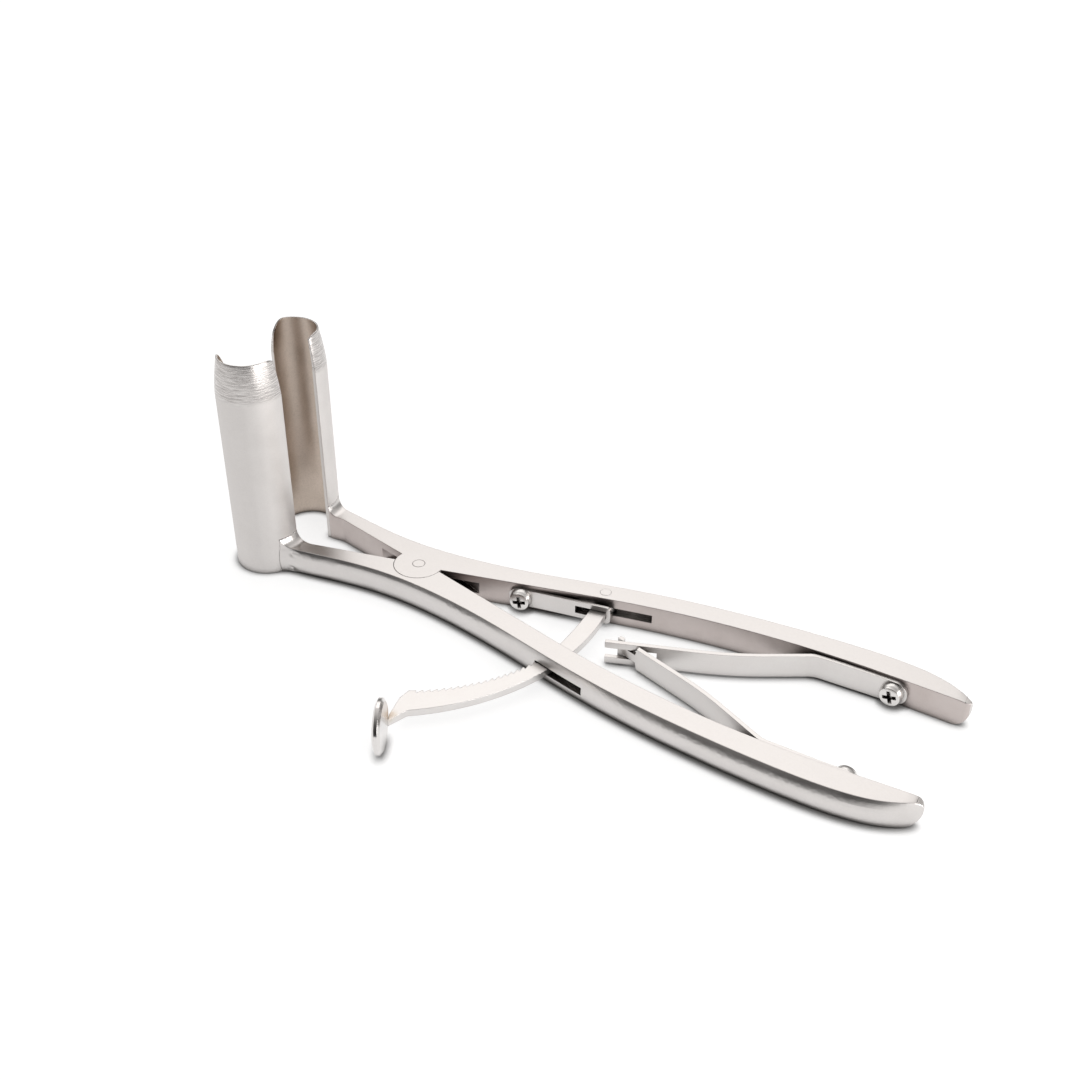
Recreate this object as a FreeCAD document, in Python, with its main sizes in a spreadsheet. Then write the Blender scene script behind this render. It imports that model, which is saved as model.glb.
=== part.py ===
import FreeCAD, Part
import math
import os
import re
import Sketcher

# Dilating forceps, lying on a table: two steel arms on a box joint, a half-tube blade brazed to each,
# a toothed ratchet bar with a thumb plate, its leaf spring, and a pair of interlocked handle springs.
# Millimetres. The origin is on the pivot axis at the underside, +X runs to the handles, +Z is up.

SIZES = [
    # arms
    ("arm_thickness", 8.0),
    ("open_half_angle", 11.0),
    ("blade_face_angle", 13.2),
    ("handle_face_start", 5.4),
    ("handle_face_angle", 14.0),
    ("handle_bend_x", 89.5),
    ("handle_bend_radius", 285.0),
    ("handle_end_angle", 2.3),
    ("handle_end_x", 150.2),
    ("handle_end_round", 1.4),
    ("handle_end_foot_round", 3.4),
    ("back_end_top_round", 0.6),
    ("front_end_top_round", 2.2),
    ("root_inset", 2.1),
    ("root_flush_reach", 0.6),
    ("root_inner_round", 4.0),
    ("root_corner_angle", 50.0),
    # box joint
    ("ear_radius", 7.0),
    ("ear_height", 2.3),
    ("joint_gap", 0.05),
    ("mortise_cutter_radius", 39.0),
    ("mortise_depth", 7.1),
    ("mortise_centre_x", 0.9),
    ("rivet_radius", 1.75),
    ("rivet_ring", 0.12),
    # blades
    ("blade_distance", 47.2),
    ("blade_outer_radius", 9.5),
    ("blade_wall", 1.3),
    ("blade_height", 65.0),
    ("blade_parting_gap", 0.1),
    ("ground_band_height", 11.0),
    ("rim_radius", 8.0),
    ("rim_wall", 0.45),
    ("blade_corner_width", 2.4),
    ("blade_corner_height", 4.2),
    ("blade_corner_bow", 0.6),
    ("blade_corner_drop", 1.26),
    ("blade_foot_chamfer", 0.5),
    ("band_bow", 0.22),
    ("braze_fillet", 3.0),
    ("braze_margin", 1.5),
    # ratchet
    ("slot_height", 2.4),
    ("bar_thickness", 2.0),
    ("slot_end_radius", 68.0),
    ("slot_lead_angle", 7.0),
    ("slot_trail_angle", 13.0),
    ("slot_pin_margin", 3.5),
    ("slot_trail_margin", 2.0),
    ("pin_x", 51.5),
    ("pin_y", 14.5),
    ("pin_radius", 1.5),
    ("bar_eye_radius", 3.3),
    ("tooth_tip_radius", 51.3),
    ("tooth_depth", 0.9),
    ("tooth_pitch_angle", 2.0),
    ("tooth_count", 22.0),
    ("tooth_land_angle", 0.14),
    ("teeth_before_catch", 3.0),
    ("catch_gap", 0.1),
    ("catch_angle", -20.4),
    ("catch_side_gap", 0.134),
    ("catch_flank_angle", 2.7),
    ("catch_flank_drop", 1.25),
    ("catch_relief", 1.8),
    ("catch_back_angle", 1.6),
    ("catch_back_drop", 0.6),
    ("bar_smooth_radius", 50.4),
    ("bar_root_width", 4.6),
    ("bar_root_angle", 10.0),
    ("bar_waist_angle", 8.0),
    ("bar_run_in_angle", -3.0),
    ("bar_run_in", 0.1),
    ("bar_belly_width", 5.58),
    ("bar_belly_angle", -24.0),
    ("bar_heel_width", 8.38),
    ("bar_heel_round", 1.6),
    ("bar_tail_angle", -58.6),
    ("bar_toe_width", 2.7),
    ("bar_toe_angle", 2.2),
    ("bar_toe_round", 1.2),
    ("bar_neck_width", 2.3),
    ("bar_neck_bite", 0.1),
    ("bar_eye_inset", 2.0),
    ("plate_radius", 7.0),
    ("plate_thickness", 2.0),
    ("plate_bevel", 0.9),
    ("plate_rim", 0.88),
    ("plate_centre_radius", 67.2),
    ("plate_angle", -63.6),
    ("plate_centre_z", 7.05),
    # ratchet spring
    ("ratchet_spring_thickness", 0.9),
    ("ratchet_spring_width", 5.2),
    ("ratchet_spring_length", 29.5),
    ("ratchet_spring_foot", 8.0),
    ("ratchet_spring_rise", 4.3),
    ("ratchet_spring_bend", 40.0),
    ("ratchet_foot_reach", 3.4),
    ("ratchet_foot_round", 2.2),
    ("ratchet_tip_round", 1.2),
    ("ratchet_tip_bridge", 1.1),
    ("ratchet_window_width", 2.3),
    ("ratchet_window_lead", 6.0),
    ("ratchet_screw_reach", 24.6),
    # handle springs
    ("leaf_thickness", 1.2),
    ("leaf_width", 6.6),
    ("leaf_foot_reach", 4.2),
    ("leaf_foot_round", 3.2),
    ("leaf_seat_gap", 0.02),
    ("leaf_seat_radius", 60.0),
    ("leaf_seat_margin", 1.0),
    ("leaf_bend_x", 110.4),
    ("leaf_bend_y", 18.5),
    ("leaf_bend_radius", 7.0),
    ("leaf_belly_x", 91.5),
    ("leaf_belly_radius", 95.0),
    ("leaf_fork_belly_y", 7.3),
    ("leaf_head_belly_y", 9.2),
    ("leaf_fork_x", 60.9),
    ("leaf_fork_y", -3.7),
    ("leaf_head_x", 63.4),
    ("leaf_head_y", -0.3),
    ("leaf_fork_gap", 3.0),
    ("leaf_fork_depth", 13.0),
    ("leaf_neck_width", 2.4),
    ("leaf_neck_length", 4.2),
    ("leaf_neck_shoulder", 0.5),
    ("leaf_cross_head", 1.6),
    # screws
    ("screw_radius", 1.5),
    ("screw_head_radius", 3.0),
    ("screw_head_height", 2.4),
    ("screw_head_wall", 1.0),
    ("screw_shoulder_radius", 2.6),
    ("screw_shoulder_height", 1.97),
    ("screw_crown_radius", 1.5),
    ("screw_length", 5.4),
    ("tapped_run_out", 0.5),
    ("screw_bore_gap", 0.02),
    ("screw_clearance", 0.2),
    ("recess_size", 3.4),
    ("recess_width", 0.75),
    ("recess_depth", 1.4),
    ("handle_screw_x", 131.0),
]

# Outer side of an arm near its blade: place along X, top edge and side crown, from the blade's axis.
ROOT_STATIONS = [
    ("flare", 3.83, 7.4, 0.25),
    ("root", 7.0, 5.7, 0.25),
    ("hollow", 8.6, 4.6, 0.25),
    ("throat", 11.33, 3.5, 0.25),
    ("neck", 16.83, 2.4, 0.25),
]

# The rest of the outer side, to the handle end, from the pivot.
OUTER_STATIONS = [
    ("shank", -20.0, 9.8, 0.25),
    ("waist", -5.0, 8.45, 0.3),
    ("shoulder", 12.0, 9.5, 0.35),
    ("seat", 29.0, 12.4, 0.55),
    ("slot", 48.3, 17.1, 0.85),
    ("grip", 70.7, 21.9, 1.2),
    ("palm", 95.0, 25.0, 1.5),
    ("swell", 118.0, 26.5, 1.5),
    ("turn", 133.0, 26.2, 1.4),
    ("round", 141.0, 24.7, 1.2),
    ("close", 146.5, 22.3, 0.8),
    ("tip", 151.0, 19.2, 0.5),
]
for station_name, station_x, station_edge, station_crown in ROOT_STATIONS + OUTER_STATIONS:
    SIZES.append((station_name + "_x", station_x))
    SIZES.append((station_name + "_edge", station_edge))
    SIZES.append((station_name + "_crown", station_crown))

# A cut reaches this far past the faces that it goes through.
OVERRUN = 2.0

# A strip's square end stands this far past the outline that trims it.
STRIP_TRIM = 0.5

# The cut that shapes a braze fillet sweeps this many blade radii past the wall.
FILLET_SWEEP = 3

doc = FreeCAD.newDocument("DilatingForceps")
sheet = doc.addObject("Spreadsheet::Sheet", "Dims")
for row, (alias, size) in enumerate(SIZES, start=1):
    sheet.set("A%d" % row, alias.replace("_", " "))
    sheet.set("B%d" % row, str(size))
    sheet.setAlias("B%d" % row, alias)
doc.recompute()
ALIASES = {alias for alias, size in SIZES}


def full(expression):
    """Write the aliases of an expression as cells of the sheet."""
    def cell(match):
        word = match.group(0)
        return "Dims." + word if word in ALIASES else word
    return re.sub(r"[a-z][a-z_]*[a-z]", cell, str(expression))


def value(expression):
    """Work out an expression of aliases as a plain number."""
    return float(sheet.evalExpression(full(expression)))


def bind(item, prop, expression):
    """Tie a property to an expression of the sheet's aliases."""
    item.setExpression(prop, full(expression))


def polar(radius, angle, side=1):
    """Return the X and Y expressions of a point given about the pivot."""
    return "(%s)*cos(%s)" % (radius, angle), "%d*(%s)*sin(%s)" % (side, radius, angle)


def new_body(label):
    """Start a sub-part."""
    body = doc.addObject("PartDesign::Body", label)
    body.Label = label
    return body


def origin_item(body, role):
    """Return an origin plane or axis of a body."""
    return next(item for item in body.Origin.OriginFeatures if item.Role == role)


def new_sketch(body, name, plane="XY_Plane", offset="0"):
    """Put a sketch on an origin plane of its body, moved along the plane's normal."""
    sketch = body.newObject("Sketcher::SketchObject", name)
    sketch.AttachmentSupport = (origin_item(body, plane), [""])
    sketch.MapMode = "FlatFace"
    bind(sketch, "AttachmentOffset.Base.z", offset)
    return sketch


def corner(point, radius=None, via=None):
    """Describe a corner of an outline: its rounding, and a point that bends the edge after it."""
    return {"point": point, "radius": radius, "via": via}


def fix_point(sketch, geometry, place, point):
    """Hold a sketch point at a pair of expressions."""
    for kind, expression in zip(("DistanceX", "DistanceY"), point):
        number = sketch.addConstraint(Sketcher.Constraint(kind, -1, 1, geometry, place, value(expression)))
        bind(sketch, "Constraints[%d]" % number, expression)


def arc_between(first, middle, last):
    """Return an arc through three points and whether it runs clockwise."""
    centre = Part.Circle(first, middle, last).Center
    clockwise = (middle - first).cross(last - middle).z < 0
    ends = (last, first) if clockwise else (first, last)
    angles = [math.atan2(end.y - centre.y, end.x - centre.x) for end in ends]
    if angles[1] < angles[0]:
        angles[1] += 2 * math.pi
    circle = Part.Circle(centre, FreeCAD.Vector(0, 0, 1), (first - centre).Length)
    return Part.ArcOfCircle(circle, angles[0], angles[1]), clockwise


def draw(sketch, corners, closed=True):
    """Draw straight, arched and rounded edges through corners whose places are expressions."""
    count = len(corners)
    spots = [FreeCAD.Vector(*[value(axis) for axis in item["point"]], 0) for item in corners]
    leave = list(spots)
    arrive = list(spots)
    middle = [None] * count
    for index, item in enumerate(corners):
        if item["radius"] is None:
            continue
        back = (spots[index - 1] - spots[index]).normalize()
        ahead = (spots[(index + 1) % count] - spots[index]).normalize()
        half = back.getAngle(ahead) / 2
        reach = value(item["radius"])
        arrive[index] = spots[index] + back * (reach / math.tan(half))
        leave[index] = spots[index] + ahead * (reach / math.tan(half))
        middle[index] = spots[index] + (back + ahead).normalize() * (reach / math.sin(half) - reach)
    edges = []
    for index in range(count if closed else count - 1):
        after = (index + 1) % count
        via = corners[index]["via"]
        if via is None:
            geometry, flipped = Part.LineSegment(leave[index], arrive[after]), False
        else:
            bend = FreeCAD.Vector(value(via[0]), value(via[1]), 0)
            geometry, flipped = arc_between(leave[index], bend, arrive[after])
        number = sketch.addGeometry(geometry, False)
        edges.append((number, 2, 1) if flipped else (number, 1, 2))
        if via is not None:
            knot = sketch.addGeometry(Part.Point(bend), True)
            sketch.addConstraint(Sketcher.Constraint("PointOnObject", knot, 1, number))
            fix_point(sketch, knot, 1, via)
    for index, item in enumerate(corners):
        before = edges[index - 1] if closed or index else None
        following = edges[index] if closed or index < count - 1 else None
        if before is None or following is None:
            edge, place = (following[0], following[1]) if before is None else (before[0], before[2])
            fix_point(sketch, edge, place, item["point"])
            continue
        if item["radius"] is None:
            sketch.addConstraint(
                Sketcher.Constraint("Coincident", before[0], before[2], following[0], following[1]))
            fix_point(sketch, following[0], following[1], item["point"])
            continue
        geometry, flipped = arc_between(arrive[index], middle[index], leave[index])
        arc = sketch.addGeometry(geometry, False)
        start, end = (2, 1) if flipped else (1, 2)
        sketch.addConstraint(Sketcher.Constraint("Tangent", before[0], before[2], arc, start))
        sketch.addConstraint(Sketcher.Constraint("Tangent", arc, end, following[0], following[1]))
        number = sketch.addConstraint(Sketcher.Constraint("Radius", arc, value(item["radius"])))
        bind(sketch, "Constraints[%d]" % number, item["radius"])
        knot = sketch.addGeometry(Part.Point(spots[index]), True)
        sketch.addConstraint(Sketcher.Constraint("PointOnObject", knot, 1, before[0]))
        sketch.addConstraint(Sketcher.Constraint("PointOnObject", knot, 1, following[0]))
        fix_point(sketch, knot, 1, item["point"])
    return sketch


def draw_circle(sketch, centre, radius):
    """Draw a circle whose centre and radius are expressions."""
    middle = FreeCAD.Vector(value(centre[0]), value(centre[1]), 0)
    circle = Part.Circle(middle, FreeCAD.Vector(0, 0, 1), value(radius))
    number = sketch.addGeometry(circle, False)
    fix_point(sketch, number, 3, centre)
    ring = sketch.addConstraint(Sketcher.Constraint("Radius", number, value(radius)))
    bind(sketch, "Constraints[%d]" % ring, radius)
    return sketch


def polygon(points):
    """Describe a closed outline of sharp corners."""
    return [corner(point) for point in points]


def pad(body, sketch, length, midplane=False):
    """Raise a sketch along its normal."""
    feature = body.newObject("PartDesign::Pad", sketch.Name + "Pad")
    feature.Profile = sketch
    bind(feature, "Length", length)
    feature.Midplane = midplane
    doc.recompute()
    return feature


def pocket(body, sketch, depth, reverse=True, midplane=False):
    """Cut a sketch away; the cut rises along the sketch's normal when it is reversed."""
    before = body.Tip.Shape.Volume
    feature = body.newObject("PartDesign::Pocket", sketch.Name + "Cut")
    feature.Profile = sketch
    bind(feature, "Length", depth)
    feature.Reversed = reverse
    feature.Midplane = midplane
    doc.recompute()
    if not feature.Shape.Volume < before:
        raise RuntimeError("%s cuts nothing" % feature.Name)
    return feature


def revolve(body, sketch, kind="PartDesign::Revolution"):
    """Turn a sketch about its own construction line or its vertical axis."""
    before = body.Tip.Shape.Volume if body.Tip else 0.0
    feature = body.newObject(kind, sketch.Name + "Turn")
    feature.Profile = sketch
    axis = "Axis0" if sketch.AxisCount else "V_Axis"
    feature.ReferenceAxis = (sketch, [axis])
    feature.Angle = 360
    doc.recompute()
    if kind == "PartDesign::Groove" and not feature.Shape.Volume < before:
        raise RuntimeError("%s cuts nothing" % feature.Name)
    return feature


def axis_line(sketch, start, end):
    """Add the construction line that a revolved sketch turns about."""
    ends = [FreeCAD.Vector(value(point[0]), value(point[1]), 0) for point in (start, end)]
    number = sketch.addGeometry(Part.LineSegment(*ends), True)
    fix_point(sketch, number, 1, start)
    fix_point(sketch, number, 2, end)


# Places that several pieces share, as expressions of the sheet.
HANDLE_BEND_Y = "((handle_bend_x-handle_face_start)*tan(handle_face_angle))"
SLOT_FLOOR = "((arm_thickness-slot_height)/2)"
CATCH_RADIUS = "(tooth_tip_radius-catch_gap)"
BLADE_X = "(-blade_distance*cos(open_half_angle))"
BLADE_Y = "(blade_distance*sin(open_half_angle))"
BAR_FLOOR = "((arm_thickness-bar_thickness)/2)"
FIRST_NOTCH = "(catch_angle-catch_side_gap+teeth_before_catch*tooth_pitch_angle)"
MIDDLE = "(arm_thickness/2)"


def end_face_y(x):
    """Inner face of a handle past its bend, at a place along X."""
    return "(%s-(%s-handle_bend_x)*tan(handle_end_angle))" % (HANDLE_BEND_Y, x)


def on_face(start, heading, along, off, side=1):
    """Return a point along a slanted face and off it, both as expressions."""
    x = "%s+(%s)*cos(%s)-(%s)*sin(%s)" % (start[0], along, heading, off, heading)
    y = "%d*(%s+(%s)*sin(%s)+(%s)*cos(%s))" % (side, start[1], along, heading, off, heading)
    return x, y


def arm_blank(body, side):
    """Pad the plan of an arm, with its outer side still square and oversize."""
    far = "(swell_edge+swell_crown+%g)" % (2 * OVERRUN)
    inset = "(blade_outer_radius-root_inset)"
    blade_axis = (BLADE_X, BLADE_Y)
    inner_root = on_face(blade_axis, "-open_half_angle", inset, "blade_parting_gap", side)
    flush_end = "(blade_outer_radius+root_flush_reach)"
    flush = on_face(blade_axis, "-open_half_angle", flush_end, "blade_parting_gap", side)
    foot_reach = "(blade_outer_radius+braze_fillet+braze_margin)"
    inner_foot = polar("blade_distance-%s" % foot_reach, "180-blade_face_angle", side)
    outer_root = (
        "%s+%s*cos(root_corner_angle)" % (BLADE_X, inset),
        "%d*(%s+%s*sin(root_corner_angle))" % (side, BLADE_Y, inset),
    )
    plan = [
        corner(inner_root),
        corner(flush),
        corner(inner_foot, radius="root_inner_round"),
        corner(("0", "0")),
        corner(("handle_face_start", "0")),
        corner(("handle_bend_x", "%d*%s" % (side, HANDLE_BEND_Y)), radius="handle_bend_radius"),
        corner(("handle_end_x", "%d*%s" % (side, end_face_y("handle_end_x"))), radius="handle_end_round"),
        corner(("handle_end_x", "%d*%s" % (side, far))),
        corner((outer_root[0], "%d*%s" % (side, far))),
        corner(outer_root),
    ]
    pad(body, draw(new_sketch(body, "Plan"), plan), "arm_thickness")
    foot = [
        inner_root,
        flush,
        inner_foot,
        ("%s+%s" % (BLADE_X, foot_reach), "%d*%s" % (side, far)),
        (outer_root[0], "%d*%s" % (side, far)),
        outer_root,
    ]
    pad(body, draw(new_sketch(body, "Braze", offset="arm_thickness"), polygon(foot)), "braze_fillet")


def braze_fillet(body, side):
    """Turn the hollow fillet that rises from the arm's top to the blade's wall."""
    top = "(arm_thickness+braze_fillet)"
    outer = "(%s+blade_outer_radius)" % BLADE_X
    hollow = ("%s+braze_fillet*(1-cos(45))" % outer, "arm_thickness+braze_fillet*(1-sin(45))")
    sweep = "%s+blade_outer_radius*%d" % (outer, FILLET_SWEEP)
    profile = [
        corner((outer, top), via=hollow),
        corner(("%s+braze_fillet" % outer, "arm_thickness")),
        corner((sweep, "arm_thickness")),
        corner((sweep, "%s+%g" % (top, OVERRUN))),
        corner((outer, "%s+%g" % (top, OVERRUN))),
    ]
    sketch = new_sketch(body, "Fillet", "XZ_Plane", "-%d*%s" % (side, BLADE_Y))
    draw(sketch, profile)
    axis_line(sketch, (BLADE_X, "0"), (BLADE_X, "arm_thickness"))
    revolve(body, sketch, "PartDesign::Groove")


def crowned_side(body, side):
    """Grind the outer side of an arm to its long curve and slight crown with one lofted cut."""
    top = "(arm_thickness+braze_fillet+%g)" % OVERRUN
    far = "(swell_edge+swell_crown+%g)" % (4 * OVERRUN)
    sections = []
    stations = [(name, BLADE_X, BLADE_Y) for name, _x, _edge, _crown in ROOT_STATIONS]
    stations += [(name, "0", "0") for name, _x, _edge, _crown in OUTER_STATIONS]
    for name, base_x, base_y in stations:
        edge = "%d*(%s+%s_edge)" % (side, base_y, name)
        crown = "%d*(%s+%s_edge+%s_crown)" % (side, base_y, name, name)
        profile = [
            corner((edge, "0"), via=(crown, MIDDLE)),
            corner((edge, "arm_thickness")),
            corner((edge, top)),
            corner(("%d*%s" % (side, far), top)),
            corner(("%d*%s" % (side, far), "-%g" % OVERRUN)),
            corner((edge, "-%g" % OVERRUN)),
        ]
        sketch = new_sketch(body, "Section_" + name, "YZ_Plane", "%s+%s_x" % (base_x, name))
        sections.append(draw(sketch, profile))
    doc.recompute()
    cut = body.newObject("PartDesign::SubtractiveLoft", "OuterSide")
    cut.Profile = sections[0]
    cut.Sections = sections[1:]
    cut.Ruled = False
    doc.recompute()


def round_handle_end(body, top_round):
    """Round the foot and the top of a handle's end, seen from the side."""
    width = "2*(swell_edge+swell_crown+%g)" % OVERRUN
    beyond = "handle_end_x+%g" % OVERRUN
    for name, radius, face, up in (
        ("EndFoot", "handle_end_foot_round", "0", 1),
        ("EndTop", top_round, "arm_thickness", -1),
    ):
        inward = "%s+%d*%s" % (face, up, radius)
        bow = ("handle_end_x-%s*(1-cos(45))" % radius, "%s+%d*%s*(1-sin(45))" % (face, up, radius))
        outside = "%s-%d*%g" % (face, up, OVERRUN)
        sketch = new_sketch(body, name, "XZ_Plane")
        draw(sketch, [
            corner(("handle_end_x-%s" % radius, face), via=bow),
            corner(("handle_end_x", inward)),
            corner((beyond, inward)),
            corner((beyond, outside)),
            corner(("handle_end_x-%s" % radius, outside)),
        ])
        pocket(body, sketch, width, midplane=True)


def seat_blade(body, side):
    """Hollow the arm's end to the outside of the blade that is brazed into it."""
    sketch = new_sketch(body, "BladeSeat")
    draw_circle(sketch, (BLADE_X, "%d*%s" % (side, BLADE_Y)), "blade_outer_radius")
    pocket(body, sketch, "arm_thickness+braze_fillet+%g" % OVERRUN)


def bore(body, name, centre, radius):
    """Drill an upright hole right through an arm."""
    sketch = draw_circle(new_sketch(body, name), centre, radius)
    return pocket(body, sketch, "arm_thickness+%g" % OVERRUN)


def tapped_hole(body, name, start, heading, side):
    """Turn a blind hole for a screw into an arm's inner face; the heading is the face's own."""
    radius = "(screw_radius+screw_bore_gap)"
    depth = "(screw_length-leaf_thickness+tapped_run_out)"
    mouth = "-%g" % OVERRUN
    sketch = new_sketch(body, name, offset=MIDDLE)
    points = [
        on_face(start, heading, "0", mouth, side),
        on_face(start, heading, radius, mouth, side),
        on_face(start, heading, radius, depth, side),
        on_face(start, heading, "0", depth, side),
    ]
    draw(sketch, polygon(points))
    axis_line(sketch, on_face(start, heading, "0", "2*%s" % mouth, side), points[0])
    return revolve(body, sketch, "PartDesign::Groove")


RATCHET_SCREW = ("(handle_face_start+ratchet_screw_reach)", "(ratchet_screw_reach*tan(handle_face_angle))")
HANDLE_SCREW = ("handle_screw_x", end_face_y("handle_screw_x"))


def make_back_arm():
    """Back arm: ears and mortise of the box joint, ratchet slot, pin bore and two tapped holes."""
    body = new_body("back_arm")
    arm_blank(body, 1)
    pad(body, draw_circle(new_sketch(body, "Ears"), ("0", "0"), "ear_radius"), "arm_thickness")
    braze_fillet(body, 1)
    crowned_side(body, 1)
    round_handle_end(body, "back_end_top_round")
    seat_blade(body, 1)
    mortise = new_sketch(body, "Mortise", offset="ear_height")
    cutter_centre = ("mortise_centre_x", "mortise_depth-mortise_cutter_radius")
    draw_circle(mortise, cutter_centre, "mortise_cutter_radius")
    pocket(body, mortise, "arm_thickness-2*ear_height")
    bore(body, "RivetBore", ("0", "0"), "rivet_radius")
    slot = new_sketch(body, "RatchetSlot", offset=SLOT_FLOOR)
    draw(slot, polygon([
        polar("pin_x-slot_pin_margin", "handle_face_angle-slot_lead_angle"),
        polar("slot_end_radius", "handle_face_angle-slot_lead_angle"),
        polar("slot_end_radius", "handle_face_angle+slot_trail_angle"),
        polar("pin_x-slot_trail_margin", "handle_face_angle+slot_trail_angle"),
    ]))
    pocket(body, slot, "slot_height")
    bore(body, "PinBore", ("pin_x", "pin_y"), "pin_radius")
    tapped_hole(body, "RatchetScrewHole", RATCHET_SCREW, "handle_face_angle", 1)
    tapped_hole(body, "HandleScrewHole", HANDLE_SCREW, "-handle_end_angle", 1)
    return body


def make_front_arm():
    """Front arm: tongue and ear recesses of the box joint, slot with its catch, one tapped hole."""
    body = new_body("front_arm")
    arm_blank(body, -1)
    layer = "(ear_height+joint_gap)"
    tongue = draw_circle(new_sketch(body, "Tongue", offset=layer), ("0", "0"), "ear_radius")
    pad(body, tongue, "arm_thickness-2*%s" % layer)
    braze_fillet(body, -1)
    crowned_side(body, -1)
    round_handle_end(body, "front_end_top_round")
    seat_blade(body, -1)
    for name, floor in (("LowerRecess", "0"), ("UpperRecess", "arm_thickness-%s" % layer)):
        recess = draw_circle(new_sketch(body, name, offset=floor), ("0", "0"), "ear_radius+joint_gap")
        pocket(body, recess, layer)
    bore(body, "RivetBore", ("0", "0"), "rivet_radius+joint_gap")
    slot = new_sketch(body, "RatchetSlot", offset=SLOT_FLOOR)
    draw(slot, polygon([
        polar("%s-catch_relief" % CATCH_RADIUS, "catch_angle+slot_trail_angle"),
        polar("%s-catch_flank_drop" % CATCH_RADIUS, "catch_angle+catch_flank_angle"),
        polar(CATCH_RADIUS, "catch_angle"),
        polar("%s-catch_back_drop" % CATCH_RADIUS, "catch_angle-catch_back_angle"),
        polar("%s-catch_back_drop" % CATCH_RADIUS, "catch_angle-slot_lead_angle"),
        polar("slot_end_radius", "catch_angle-slot_lead_angle"),
        polar("slot_end_radius", "catch_angle+slot_trail_angle"),
    ]))
    pocket(body, slot, "slot_height")
    tapped_hole(body, "HandleScrewHole", HANDLE_SCREW, "-handle_end_angle", -1)
    return body


def make_blade(label, side):
    """Half-tube blade, turned about its own axis and set to its arm's angle."""
    body = new_body(label)
    wall = new_sketch(body, "Wall", "XZ_Plane")
    inner = "(blade_outer_radius-blade_wall)"
    rim_inner = "(rim_radius-rim_wall)"
    shoulder = "(blade_height-ground_band_height)"
    knee = ("(blade_outer_radius+rim_radius)/2+band_bow", "%s+ground_band_height/2" % shoulder)
    draw(wall, [
        corner(("blade_outer_radius-blade_foot_chamfer", "0")),
        corner(("blade_outer_radius", "blade_foot_chamfer")),
        corner(("blade_outer_radius", shoulder)),
        corner(knee),
        corner(("rim_radius", "blade_height")),
        corner((rim_inner, "blade_height")),
        corner((inner, shoulder)),
        corner((inner, "0")),
    ])
    revolve(body, wall)
    other_half = new_sketch(body, "OtherHalf")
    reach = "(blade_outer_radius+%g)" % OVERRUN
    gap = "%d*blade_parting_gap" % side
    draw(other_half, polygon([
        ("-%s" % reach, gap),
        (reach, gap),
        (reach, "%d*%s" % (-side, reach)),
        ("-%s" % reach, "%d*%s" % (-side, reach)),
    ]))
    pocket(body, other_half, "blade_height+%g" % OVERRUN)
    above = "blade_height+%g" % OVERRUN
    aside = "%d*(blade_parting_gap-%g)" % (side, OVERRUN)
    bow = ("%d*(blade_parting_gap+blade_corner_bow)" % side, "blade_height-blade_corner_drop")
    for name, hand in (("NearCorner", True), ("FarCorner", False)):
        nick = new_sketch(body, name, "YZ_Plane")
        draw(nick, [
            corner((gap, "blade_height-blade_corner_height"), via=bow),
            corner(("%d*(blade_parting_gap+blade_corner_width)" % side, "blade_height")),
            corner(("%d*(blade_parting_gap+blade_corner_width)" % side, above)),
            corner((aside, above)),
            corner((aside, "blade_height-blade_corner_height")),
        ])
        pocket(body, nick, reach, reverse=hand)
    heading = -side * value("open_half_angle")
    turn = FreeCAD.Rotation(FreeCAD.Vector(0, 0, 1), heading)
    body.Placement = FreeCAD.Placement(FreeCAD.Vector(value(BLADE_X), side * value(BLADE_Y), 0), turn)
    return body


def make_pivot_rivet():
    """Flush rivet of the box joint, with a fine chamfer that shows as a ring."""
    body = new_body("pivot_rivet")
    profile = new_sketch(body, "Profile", "XZ_Plane")
    draw(profile, polygon([
        ("0", "0"),
        ("rivet_radius-rivet_ring", "0"),
        ("rivet_radius", "rivet_ring"),
        ("rivet_radius", "arm_thickness-rivet_ring"),
        ("rivet_radius-rivet_ring", "arm_thickness"),
        ("0", "arm_thickness"),
    ]))
    revolve(body, profile)
    return body


def make_ratchet_pin():
    """Pin that the ratchet bar turns on, pressed through the back arm."""
    pin = doc.addObject("Part::Cylinder", "ratchet_pin")
    pin.Label = "ratchet_pin"
    bind(pin, "Radius", "pin_radius")
    bind(pin, "Height", "arm_thickness")
    bind(pin, "Placement.Base.x", "pin_x")
    bind(pin, "Placement.Base.y", "pin_y")
    return pin


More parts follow.
